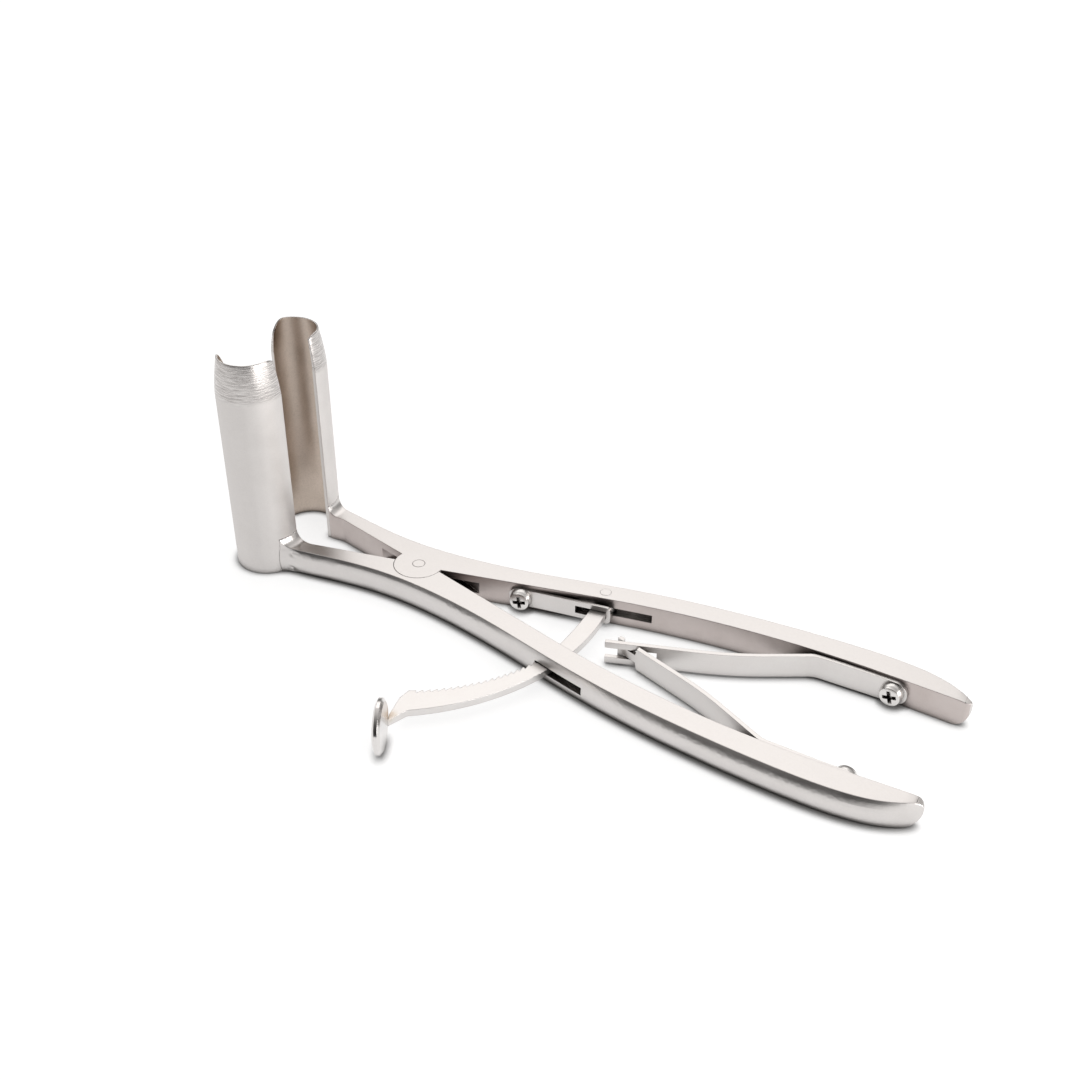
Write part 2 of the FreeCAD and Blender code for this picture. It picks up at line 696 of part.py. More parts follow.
def make_ratchet_bar():
    """Ratchet bar: an eye on the pin, a smooth root, a row of saw teeth and a neck for the thumb plate."""
    body = new_body("ratchet_bar")
    outer = "(bar_smooth_radius+%s)"
    neck_inner = "plate_centre_radius-plate_radius+bar_neck_bite"
    neck_outer = "plate_centre_radius-plate_radius+bar_neck_width"
    toe = polar("tooth_tip_radius+bar_toe_width", "bar_tail_angle-bar_toe_angle")
    row_start = "(%s+tooth_pitch_angle/2)" % FIRST_NOTCH
    row_end = "(%s-tooth_pitch_angle*tooth_count)" % FIRST_NOTCH
    row_middle = polar("tooth_tip_radius", "(%s+%s)/2" % (row_start, row_end))
    run_in = polar("bar_smooth_radius-bar_run_in", "bar_run_in_angle")
    plan = new_sketch(body, "Plan", offset=BAR_FLOOR)
    draw(plan, [
        corner(polar(outer % "bar_root_width", "bar_root_angle"),
               via=polar(outer % "bar_belly_width", "bar_belly_angle")),
        corner(polar(outer % "bar_heel_width", "bar_tail_angle"), radius="bar_heel_round"),
        corner(on_face(("0", "0"), "plate_angle", neck_outer, "plate_thickness/2")),
        corner(on_face(("0", "0"), "plate_angle", neck_inner, "plate_thickness/2")),
        corner(toe, radius="bar_toe_round"),
        corner(polar("tooth_tip_radius", row_end), via=row_middle),
        corner(polar("tooth_tip_radius", row_start), via=run_in),
        corner(polar("bar_smooth_radius", "bar_waist_angle")),
        corner(("pin_x-bar_eye_inset", "pin_y-bar_eye_inset")),
        corner(("pin_x+bar_eye_inset", "pin_y-bar_eye_inset")),
    ])
    pad(body, plan, "bar_thickness")
    eye = new_sketch(body, "Eye", offset=BAR_FLOOR)
    pad(body, draw_circle(eye, ("pin_x", "pin_y"), "bar_eye_radius"), "bar_thickness")
    hole = new_sketch(body, "EyeHole", offset=BAR_FLOOR)
    pocket(body, draw_circle(hole, ("pin_x", "pin_y"), "pin_radius+joint_gap"), "bar_thickness")
    notch = new_sketch(body, "ToothNotch", offset=BAR_FLOOR)
    slope_end = "%s+tooth_pitch_angle-tooth_land_angle" % FIRST_NOTCH
    draw(notch, polygon([
        polar("tooth_tip_radius-tooth_depth", FIRST_NOTCH),
        polar("tooth_tip_radius+tooth_depth", FIRST_NOTCH),
        polar("tooth_tip_radius", slope_end),
        polar("tooth_tip_radius-tooth_depth", slope_end),
    ]))
    cut = pocket(body, notch, "bar_thickness")
    row = body.newObject("PartDesign::PolarPattern", "Teeth")
    row.Originals = [cut]
    row.Axis = (origin_item(body, "Z_Axis"), [""])
    row.Reversed = True
    bind(row, "Angle", "tooth_pitch_angle*(tooth_count-1)")
    bind(row, "Occurrences", "tooth_count")
    body.Tip = row
    doc.recompute()
    return body


def make_thumb_plate():
    """Round thumb plate, a bevelled disc brazed upright to the bar's neck."""
    body = new_body("thumb_plate")
    profile = new_sketch(body, "Profile", "XZ_Plane")
    draw(profile, polygon([
        ("0", "-plate_thickness/2"),
        ("plate_radius-plate_bevel", "-plate_thickness/2"),
        ("plate_radius", "-plate_rim/2"),
        ("plate_radius", "plate_rim/2"),
        ("plate_radius-plate_bevel", "plate_thickness/2"),
        ("0", "plate_thickness/2"),
    ]))
    revolve(body, profile)
    angle = value("plate_angle")
    centre = [value(axis) for axis in polar("plate_centre_radius", "plate_angle")]
    spot = FreeCAD.Vector(centre[0], centre[1], value("plate_centre_z"))
    upright = FreeCAD.Rotation(FreeCAD.Vector(1, 0, 0), 90)
    turned = FreeCAD.Rotation(FreeCAD.Vector(0, 0, 1), angle)
    body.Placement = FreeCAD.Placement(spot, turned.multiply(upright))
    return body


def strip(label, corners, width, thickness):
    """Sweep a flat strip along a route in plan, with its width upright."""
    body = new_body(label + "_strip")
    route = draw(new_sketch(body, "Route", offset=MIDDLE), corners, closed=False)
    doc.recompute()
    ends = [item["point"] for item in corners[:2]]
    first, second = [FreeCAD.Vector(value(x), value(y), 0) for x, y in ends]
    heading = math.degrees(math.atan2(second.y - first.y, second.x - first.x))
    section = body.newObject("Sketcher::SketchObject", "Section")
    section.AttachmentSupport = (origin_item(body, "XZ_Plane"), [""])
    section.MapMode = "FlatFace"
    base = FreeCAD.Vector(first.x, 0, -first.y)
    turn = FreeCAD.Rotation(FreeCAD.Vector(0, 1, 0), heading - 90)
    section.AttachmentOffset = FreeCAD.Placement(base, turn)
    low = "%s-%s/2" % (MIDDLE, width)
    high = "%s+%s/2" % (MIDDLE, width)
    draw(section, polygon([
        ("-%s/2" % thickness, low),
        ("%s/2" % thickness, low),
        ("%s/2" % thickness, high),
        ("-%s/2" % thickness, high),
    ]))
    doc.recompute()
    pipe = body.newObject("PartDesign::AdditivePipe", "Leaf")
    pipe.Profile = section
    pipe.Spine = (route, [])
    pipe.Mode = "Frenet"
    doc.recompute()
    return body


def silhouette(label, outline, holes, reach):
    """Pad the side view of a strip across it, with its openings cut out."""
    body = new_body(label + "_side")
    pad(body, draw(new_sketch(body, "SideView", "XZ_Plane"), outline), "2*%s" % reach, midplane=True)
    for number, hole in enumerate(holes):
        sketch = new_sketch(body, "Opening%d" % number, "XZ_Plane")
        if isinstance(hole, tuple):
            draw_circle(sketch, hole[0], hole[1])
        else:
            draw(sketch, polygon(hole))
        pocket(body, sketch, "2*(%s+%g)" % (reach, OVERRUN), midplane=True)
    return body


def common(label, base, tool):
    """Keep what two bodies share."""
    result = doc.addObject("Part::Common", label)
    result.Base = base
    result.Tool = tool
    result.Label = label
    doc.recompute()
    return result


def make_ratchet_spring():
    """Forked leaf spring that holds the ratchet bar against the catch."""
    half = "(ratchet_spring_thickness/2)"
    face = ("handle_face_start", "0")
    start = "(ratchet_screw_reach/cos(handle_face_angle)-ratchet_foot_reach)"
    end = "(%s+ratchet_spring_length)" % start
    lift = "(%s+(ratchet_spring_length-ratchet_spring_foot)*tan(ratchet_spring_rise))" % half
    bend = on_face(face, "handle_face_angle", "%s+ratchet_spring_foot" % start, "-%s" % half)
    tip = on_face(face, "handle_face_angle", end, "-%s" % lift)
    route = [
        corner(on_face(face, "handle_face_angle", start, "-%s" % half)),
        corner(bend, radius="ratchet_spring_bend"),
        corner(tip),
    ]
    strip_body = strip("ratchet_spring", route, "ratchet_spring_width", "ratchet_spring_thickness")
    low = "(%s-ratchet_spring_width/2)" % MIDDLE
    high = "(%s+ratchet_spring_width/2)" % MIDDLE
    left = "(%s-ratchet_foot_reach*cos(handle_face_angle))" % RATCHET_SCREW[0]
    right = "(%s-%g)" % (tip[0], STRIP_TRIM)
    outline = [
        corner((left, low), radius="ratchet_foot_round"),
        corner((right, low), radius="ratchet_tip_round"),
        corner((right, high), radius="ratchet_tip_round"),
        corner((left, high), radius="ratchet_foot_round"),
    ]
    window_left = "pin_x-ratchet_window_lead"
    window_right = "%s-ratchet_tip_bridge" % right
    window = [
        (window_left, "%s-ratchet_window_width/2" % MIDDLE),
        (window_right, "%s-ratchet_window_width/2" % MIDDLE),
        (window_right, "%s+ratchet_window_width/2" % MIDDLE),
        (window_left, "%s+ratchet_window_width/2" % MIDDLE),
    ]
    hole = ((RATCHET_SCREW[0], MIDDLE), "screw_radius+screw_clearance")
    side_body = silhouette("ratchet_spring", outline, [window, hole], "slot_end_radius")
    return common("ratchet_spring", strip_body, side_body)


def make_handle_spring(label, side):
    """Leaf spring of one handle; the back one ends in a fork, the front one in a neck and a cross head."""
    half = "(leaf_thickness/2+leaf_seat_gap)"
    foot_x = "(handle_screw_x+leaf_foot_reach)"
    seat_x = "(handle_screw_x-screw_head_radius-leaf_seat_margin)"
    name = "fork" if side > 0 else "head"
    tip = ("leaf_%s_x" % name, "leaf_%s_y" % name)
    route = [
        corner((foot_x, "%d*(%s-%s)" % (side, end_face_y(foot_x), half))),
        corner((seat_x, "%d*(%s-%s)" % (side, end_face_y(seat_x), half)), radius="leaf_seat_radius"),
        corner(("leaf_bend_x", "%d*leaf_bend_y" % side), radius="leaf_bend_radius"),
        corner(("leaf_belly_x", "%d*leaf_%s_belly_y" % (side, name)), radius="leaf_belly_radius"),
        corner(tip),
    ]
    strip_body = strip(label, route, "leaf_width", "leaf_thickness")
    low = "(%s-leaf_width/2)" % MIDDLE
    high = "(%s+leaf_width/2)" % MIDDLE
    left = "(%s-%g)" % (tip[0], STRIP_TRIM)
    right = "(%s-%g)" % (foot_x, STRIP_TRIM)
    foot = [
        corner((right, low), radius="leaf_foot_round"),
        corner((right, high), radius="leaf_foot_round"),
    ]
    openings = [((HANDLE_SCREW[0], MIDDLE), "screw_radius+screw_clearance")]
    if side > 0:
        outline = [corner((left, low))] + foot + [corner((left, high))]
        fork_end = "%s+leaf_fork_depth" % tip[0]
        openings.append([
            ("%s-%g" % (left, STRIP_TRIM), "%s-leaf_fork_gap/2" % MIDDLE),
            (fork_end, "%s-leaf_fork_gap/2" % MIDDLE),
            (fork_end, "%s+leaf_fork_gap/2" % MIDDLE),
            ("%s-%g" % (left, STRIP_TRIM), "%s+leaf_fork_gap/2" % MIDDLE),
        ])
    else:
        neck_start = "(%s+leaf_cross_head)" % tip[0]
        neck_end = "(%s+leaf_neck_length)" % neck_start
        shoulder = "(%s+leaf_neck_shoulder)" % neck_end
        neck_low = "(%s-leaf_neck_width/2)" % MIDDLE
        neck_high = "(%s+leaf_neck_width/2)" % MIDDLE
        lower = polygon([(left, low), (neck_start, low), (neck_start, neck_low), (neck_end, neck_low)])
        upper = polygon([(neck_end, neck_high), (neck_start, neck_high), (neck_start, high), (left, high)])
        outline = lower + polygon([(shoulder, low)]) + foot + polygon([(shoulder, high)]) + upper
    side_body = silhouette(label, outline, openings, "slot_end_radius")
    return common(label, strip_body, side_body)


def make_screw(label, start, heading, lift, side):
    """Pan head screw with a cross recess; its head stands on a leaf of the given thickness."""
    body = new_body(label)
    profile = new_sketch(body, "Profile", "XZ_Plane")
    draw(profile, [
        corner(("0", "-screw_length")),
        corner(("screw_radius", "-screw_length")),
        corner(("screw_radius", "0")),
        corner(("screw_head_radius", "0")),
        corner(("screw_head_radius", "screw_head_wall")),
        corner(("screw_shoulder_radius", "screw_shoulder_height")),
        corner(("screw_crown_radius", "screw_head_height")),
        corner(("0", "screw_head_height")),
    ])
    revolve(body, profile)
    cross = new_sketch(body, "Recess", offset="screw_head_height-recess_depth")
    long = "recess_size/2"
    short = "recess_width/2"
    arms = []
    for number in range(4):
        quarter = 90 * number
        for along, across in ((short, "-%s" % short), (long, "-%s" % short), (long, short)):
            arms.append(on_face(("0", "0"), quarter, along, across))
    draw(cross, polygon(arms))
    pocket(body, cross, "recess_depth+%g" % OVERRUN)
    angle = value(heading)
    spot = [value(axis) for axis in on_face(start, heading, "0", "-%s" % lift, side)]
    lie = FreeCAD.Rotation(FreeCAD.Vector(1, 0, 0), 90 * side)
    turned = FreeCAD.Rotation(FreeCAD.Vector(0, 0, 1), angle * side)
    body.Placement = FreeCAD.Placement(
        FreeCAD.Vector(spot[0], spot[1], value(MIDDLE)), turned.multiply(lie))
    return body


def check(pieces):
    """Stop if any feature failed or any piece isn't one valid solid."""
    for item in doc.Objects:
        bad = [state for state in item.State if state in ("Invalid", "Error")]
        if bad:
            raise RuntimeError("%s is %s" % (item.Name, ", ".join(bad)))
    for piece in pieces:
        shape = piece.Shape
        if shape.isNull() or not shape.isValid() or len(shape.Solids) != 1:
            raise RuntimeError("%s isn't one valid solid" % piece.Label)


def main():
    """Build every piece, check them and write one file for each."""
    leaf_lift = "(leaf_thickness+2*leaf_seat_gap)"
    spring_lift = "ratchet_spring_thickness"
    pieces = [
        make_back_arm(),
        make_front_arm(),
        make_blade("back_blade", 1),
        make_blade("front_blade", -1),
        make_pivot_rivet(),
        make_ratchet_pin(),
        make_ratchet_bar(),
        make_thumb_plate(),
        make_ratchet_spring(),
        make_handle_spring("back_handle_spring", 1),
        make_handle_spring("front_handle_spring", -1),
        make_screw("ratchet_spring_screw", RATCHET_SCREW, "handle_face_angle", spring_lift, 1),
        make_screw("back_spring_screw", HANDLE_SCREW, "-handle_end_angle", leaf_lift, 1),
        make_screw("front_spring_screw", HANDLE_SCREW, "-handle_end_angle", leaf_lift, -1),
    ]
    doc.recompute()
    check(pieces)
    os.makedirs("parts", exist_ok=True)
    for piece in pieces:
        piece.Shape.exportStep(os.path.join("parts", piece.Label + ".step"))
        box = piece.Shape.BoundBox
        print("%-22s volume %8.1f  x %7.2f %7.2f  y %7.2f %7.2f  z %6.2f %6.2f" % (
            piece.Label, piece.Shape.Volume, box.XMin, box.XMax, box.YMin, box.YMax, box.ZMin, box.ZMax))


main()
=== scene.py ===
"""Looks of the dilating forceps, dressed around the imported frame.

The arms, the blades, the leaf springs and the screws are modelled again here with rounded edges, in the
places of the solids that they stand for. The rivet, the pin, the bar and the thumb plate are the frame's own
solids with a finish. Lengths are metres and angles degrees unless a name says otherwise.
"""
import functools
import logging
import math
from dataclasses import dataclass
from enum import Enum

import bmesh
import bpy
from mathutils import Matrix, Vector


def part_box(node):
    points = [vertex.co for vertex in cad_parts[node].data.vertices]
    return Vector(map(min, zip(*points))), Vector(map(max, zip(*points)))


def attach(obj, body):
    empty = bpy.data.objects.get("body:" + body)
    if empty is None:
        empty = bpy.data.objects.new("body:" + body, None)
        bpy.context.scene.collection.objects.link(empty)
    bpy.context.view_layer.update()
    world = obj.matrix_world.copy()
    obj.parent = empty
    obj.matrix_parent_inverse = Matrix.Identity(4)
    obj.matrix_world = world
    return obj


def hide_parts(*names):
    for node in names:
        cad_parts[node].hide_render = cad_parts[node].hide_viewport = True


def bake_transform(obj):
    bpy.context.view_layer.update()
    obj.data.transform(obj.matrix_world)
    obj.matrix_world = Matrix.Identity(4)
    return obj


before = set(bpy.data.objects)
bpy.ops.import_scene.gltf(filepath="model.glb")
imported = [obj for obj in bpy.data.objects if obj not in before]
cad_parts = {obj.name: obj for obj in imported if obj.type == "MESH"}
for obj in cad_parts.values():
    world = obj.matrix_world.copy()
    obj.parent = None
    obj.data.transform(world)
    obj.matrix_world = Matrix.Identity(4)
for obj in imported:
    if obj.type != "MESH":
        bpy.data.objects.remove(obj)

LOG = logging.getLogger("forceps")
MM = 0.001

# Turns of the handles' inner faces at the screws and of the blades' arms, as in the solids
HANDLE_FACE_ANGLE = 14.0
HANDLE_END_ANGLE = 2.3
OPEN_HALF_ANGLE = 11.0

# Corners of a solid's loose triangles that are nearer than this are one
WELD_REACH = 0.002 * MM

# How wear, blasting and grinding colour and polish steel, and the painted shade laid deep in slots and seams
PIT_COLOUR = (0.1, 0.085, 0.075, 1.0)
STREAK_COLOUR = (0.24, 0.22, 0.21, 1.0)
RUBBED_COLOUR = (0.8, 0.785, 0.77, 1.0)
# Near black of the painted shade deep in slots and seams
CAVITY_SHADE_COLOUR = (0.035, 0.026, 0.022, 1.0)
STREAK_SHARE = 0.7
RUBBED_SHARE = 0.6
CLOUD_ROUGHNESS = 0.05
BAND_POLISH = 0.22
RIDGE_HEIGHT = 1.6
BEVEL_SAMPLES = 6

# How much further than the rounded edges the smooth shading goes, in degrees
SHADE_MARGIN = 10.0


class Body(Enum):
    """Moving bodies of the frame."""

    FRONT = "front_arm_body"
    BACK = "back_arm_body"
    RATCHET = "ratchet"


class Slot(Enum):
    """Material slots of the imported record."""

    SATIN = "satin_steel"
    BLADE = "blade_steel"
    RATCHET = "ratchet_steel"
    POLISHED = "polished_steel"
    SPRING = "spring_steel"
    SCREW = "screw_steel"


class Tree:
    """Adds nodes to a node tree, sets their inputs and links them."""

    def __init__(self, tree: bpy.types.NodeTree) -> None:
        """Keep the tree.

        Args:
            tree: The shader or geometry tree to fill.
        """
        self.tree = tree

    def add(self, kind: str, feeds: dict | None = None, **settings: object) -> bpy.types.Node:
        """Add a node.

        Args:
            kind: The node's type name.
            feeds: Values or output sockets for its inputs, by input name or number.
            settings: Properties of the node, such as its operation.

        Returns:
            The new node.
        """
        node = self.tree.nodes.new(kind)
        for name, setting in settings.items():
            setattr(node, name, setting)
        for name, value in (feeds or {}).items():
            if isinstance(value, bpy.types.NodeSocket):
                self.tree.links.new(value, node.inputs[name])
            else:
                node.inputs[name].default_value = value
        return node

    def math(self, operation: str, *values: object, clamp: bool = False) -> bpy.types.NodeSocket:
        """Add a Math node.

        Args:
            operation: The Math node's operation.
            values: Numbers or sockets for its inputs, in order.
            clamp: Whether the result is held between 0 and 1.

        Returns:
            The node's value socket.
        """
        feeds = dict(enumerate(values))
        return self.add("ShaderNodeMath", feeds, operation=operation, use_clamp=clamp).outputs[0]

    def ramp(self, value: object, low: float, high: float, start: float = 0.0,
             end: float = 1.0) -> bpy.types.NodeSocket:
        """Map a value smoothly from one range to another.

        Args:
            value: The socket to map.
            low: Value that gives start.
            high: Value that gives end.
            start: Result at and below low.
            end: Result at and above high.

        Returns:
            The mapped value's socket.
        """
        feeds = {"Value": value, "From Min": low, "From Max": high, "To Min": start, "To Max": end}
        return self.add("ShaderNodeMapRange", feeds, interpolation_type="SMOOTHSTEP").outputs[0]

    def mix(self, share: object, first: object, second: object) -> bpy.types.NodeSocket:
        """Mix two colours.

        Args:
            share: Part of the second colour, from 0 to 1.
            first: Colour or socket at 0.
            second: Colour or socket at 1.

        Returns:
            The mixed colour's socket.
        """
        node = self.add("ShaderNodeMix", {0: share, 6: first, 7: second}, data_type="RGBA")
        return node.outputs[2]

    def noise(self, place: object, scale: object, detail: float,
              roughness: float = 0.5) -> bpy.types.NodeSocket:
        """Add a noise texture.

        Args:
            place: Socket of the place that it is read at.
            scale: Number or socket of its scale.
            detail: How many finer layers it has.
            roughness: How strong the finer layers are.

        Returns:
            The noise's value socket.
        """
        feeds = {"Vector": place, "Scale": scale, "Detail": detail, "Roughness": roughness}
        return self.add("ShaderNodeTexNoise", feeds).outputs[0]

    def object_place(self) -> bpy.types.NodeSocket:
        """Give the socket of the Object coordinates."""
        return self.add("ShaderNodeTexCoord").outputs["Object"]

    def split(self, vector: object) -> list[bpy.types.NodeSocket]:
        """Give the sockets of a vector's X, Y and Z."""
        return list(self.add("ShaderNodeSeparateXYZ", {0: vector}).outputs)

    def corner(self) -> list[bpy.types.NodeSocket]:
        """Give the sockets of a mesh corner's X, Y and Z."""
        return self.split(self.add("GeometryNodeInputPosition").outputs[0])

    def vector(self, *parts: object) -> bpy.types.NodeSocket:
        """Join numbers or sockets for X, Y and Z to a vector's socket."""
        return self.add("ShaderNodeCombineXYZ", dict(enumerate(parts))).outputs[0]

    def link(self, source: bpy.types.NodeSocket, target: bpy.types.NodeSocket) -> None:
        """Link two sockets."""
        self.tree.links.new(source, target)


def new_group(name: str, kind: str, inputs: dict,
              outputs: dict) -> tuple[Tree, bpy.types.Node, bpy.types.Node]:
    """Start a node group with named inputs and outputs.

    Args:
        name: The group's name.
        kind: Tree type, ShaderNodeTree or GeometryNodeTree.
        inputs: The default of each input that is a number, or another input's socket type, by name.
        outputs: Socket type of each output, by name.

    Returns:
        The tree, its input node and its output node.
    """
    tree = bpy.data.node_groups.new(name, kind)
    for label, given in inputs.items():
        plain = isinstance(given, float)
        socket_type = "NodeSocketFloat" if plain else given
        socket = tree.interface.new_socket(label, in_out="INPUT", socket_type=socket_type)
        if plain:
            socket.default_value = given
    for label, socket_type in outputs.items():
        tree.interface.new_socket(label, in_out="OUTPUT", socket_type=socket_type)
    return Tree(tree), tree.nodes.new("NodeGroupInput"), tree.nodes.new("NodeGroupOutput")


def empty_tree(owner: bpy.types.ID) -> Tree:
    """Give a new material or world a tree without nodes.

    Args:
        owner: The material or world.

    Returns:
        Its tree.
    """
    owner.use_nodes = True
    owner.node_tree.nodes.clear()
    return Tree(owner.node_tree)


class BlastedGrain:
    """Shader group: fine pits of bead blasting and the broad cloudiness of a satin face."""

    pit_scale = 2.2 / MM
    pit_range = (0.35, 0.75)
    cloud_range = (0.3, 0.7)

    @classmethod
    @functools.cache
    def build(cls) -> bpy.types.NodeTree:
        """Build the group once.

        Returns:
            The group's tree, with outputs Height, Cloud and Pits.
        """
        inputs = {"Grain Size": 0.12, "Cloud Size": 9.0}
        outputs = dict.fromkeys(("Height", "Cloud", "Pits"), "NodeSocketFloat")
        tree, entry, leave = new_group("blasted_grain", "ShaderNodeTree", inputs, outputs)
        place = tree.object_place()
        grain_scale = tree.math("DIVIDE", 1.0 / MM, entry.outputs["Grain Size"])
        cloud_scale = tree.math("DIVIDE", 1.0 / MM, entry.outputs["Cloud Size"])
        grain = tree.noise(place, grain_scale, detail=2.0, roughness=0.6)
        cloud = tree.noise(place, cloud_scale, detail=3.0, roughness=0.55)
        pits = tree.noise(place, cls.pit_scale, detail=3.0, roughness=0.7)
        tree.link(grain, leave.inputs["Height"])
        tree.link(tree.ramp(pits, *cls.pit_range), leave.inputs["Pits"])
        tree.link(tree.ramp(cloud, *cls.cloud_range), leave.inputs["Cloud"])
        return tree.tree


class EdgeWear:
    """Shader group: a mask that is 1 on a rubbed edge, from the rounded and the flat normal."""

    patch_scale = 0.35 / MM

    @classmethod
    @functools.cache
    def build(cls) -> bpy.types.NodeTree:
        """Build the group once.

        Returns:
            The group's tree, with output Mask.
        """
        inputs = {"Rounded": "NodeSocketVector", "Reach": 0.2}
        tree, entry, leave = new_group("edge_wear", "ShaderNodeTree", inputs, {"Mask": "NodeSocketFloat"})
        flat = tree.add("ShaderNodeNewGeometry").outputs["Normal"]
        normals = {0: entry.outputs["Rounded"], 1: flat}
        turn = tree.add("ShaderNodeVectorMath", normals, operation="DOT_PRODUCT")
        bend = tree.math("SUBTRACT", 1.0, turn.outputs["Value"])
        worn = tree.noise(tree.object_place(), cls.patch_scale, detail=3.0)
        sharpness = tree.math("DIVIDE", bend, entry.outputs["Reach"])
        tree.link(tree.math("MULTIPLY", sharpness, worn, clamp=True), leave.inputs["Mask"])
        return tree.tree


class CavityShade:
    """Shader group: a mask that is 1 deep in a slot or a seam, where the steel is painted dark as shade."""

    closed = 0.22

    @classmethod
    @functools.cache
    def build(cls) -> bpy.types.NodeTree:
        """Build the group once.

        Returns:
            The group's tree, with output Mask.
        """
        inputs = {"Reach": 0.004, "Open": 0.6}
        tree, entry, leave = new_group("painted_cavity_shade", "ShaderNodeTree", inputs, {"Mask": "NodeSocketFloat"})
        around = tree.add("ShaderNodeAmbientOcclusion", {"Distance": entry.outputs["Reach"]}, samples=6)
        mask = tree.ramp(around.outputs["AO"], cls.closed, entry.outputs["Open"], 1.0, 0.0)
        tree.link(mask, leave.inputs["Mask"])
        return tree.tree


class GroundBand:
    """Shader group: the fine level marks that a grinding wheel leaves round the top of a blade."""

    wander_scale = 0.12 / MM
    wander = 1.2 * MM
    fade = (0.2 * MM, 2.2 * MM)
    line_stretch = (0.05, 0.05, 1.0)
    line_scale = 5.0 / MM
    line_range = (0.35, 0.65)

    @classmethod
    @functools.cache
    def build(cls) -> bpy.types.NodeTree:
        """Build the group once.

        Returns:
            The group's tree, with outputs Mask and Lines.
        """
        outputs = dict.fromkeys(("Mask", "Lines"), "NodeSocketFloat")
        tree, entry, leave = new_group("ground_band", "ShaderNodeTree", {"Bottom": 0.054}, outputs)
        place = tree.object_place()
        height = tree.split(place)[2]
        drift = tree.noise(place, cls.wander_scale, detail=2.0)
        edge = tree.math("MULTIPLY_ADD", drift, cls.wander, height)
        above = tree.math("SUBTRACT", edge, entry.outputs["Bottom"])
        stretch = tree.add("ShaderNodeMapping", {"Vector": place, "Scale": cls.line_stretch})
        lines = tree.noise(stretch.outputs[0], cls.line_scale, detail=4.0, roughness=0.75)
        tree.link(tree.ramp(above, *cls.fade), leave.inputs["Mask"])
        tree.link(tree.ramp(lines, *cls.line_range), leave.inputs["Lines"])
        return tree.tree


class HeatTint:
    """Shader group: straw, copper and grey rings that brazing leaves in steel round a point."""

    patch_scale = 0.5 / MM
    unevenness = 0.6
    fade = (0.35, 1.0)
    rings = (
        (0.1, (0.16, 0.11, 0.09, 1.0)),
        (0.45, (0.34, 0.22, 0.14, 1.0)),
        (0.7, (0.55, 0.46, 0.36, 1.0)),
        (0.95, (0.62, 0.58, 0.53, 1.0)),
    )

    @classmethod
    @functools.cache
    def build(cls) -> bpy.types.NodeTree:
        """Build the group once.

        Returns:
            The group's tree, with outputs Mask and Color.
        """
        inputs = {"Centre": "NodeSocketVector", "Radius": 0.005}
        outputs = {"Mask": "NodeSocketFloat", "Color": "NodeSocketColor"}
        tree, entry, leave = new_group("heat_tint", "ShaderNodeTree", inputs, outputs)
        place = tree.object_place()
        far = tree.add("ShaderNodeVectorMath", {0: place, 1: entry.outputs["Centre"]}, operation="DISTANCE")
        uneven = tree.noise(place, cls.patch_scale, detail=3.0)
        shift = tree.math("MULTIPLY_ADD", uneven, cls.unevenness, -cls.unevenness / 2)
        near = tree.math("ADD", tree.math("DIVIDE", far.outputs["Value"], entry.outputs["Radius"]), shift)
        rings = tree.add("ShaderNodeValToRGB", {0: near})
        stops = rings.color_ramp.elements
        stops.remove(stops[1])
        stops[0].position, stops[0].color = cls.rings[0]
        for position, colour in cls.rings[1:]:
            stops.new(position).color = colour
        tree.link(tree.ramp(near, *cls.fade, 1.0, 0.0), leave.inputs["Mask"])
        tree.link(rings.outputs[0], leave.inputs["Color"])
        return tree.tree


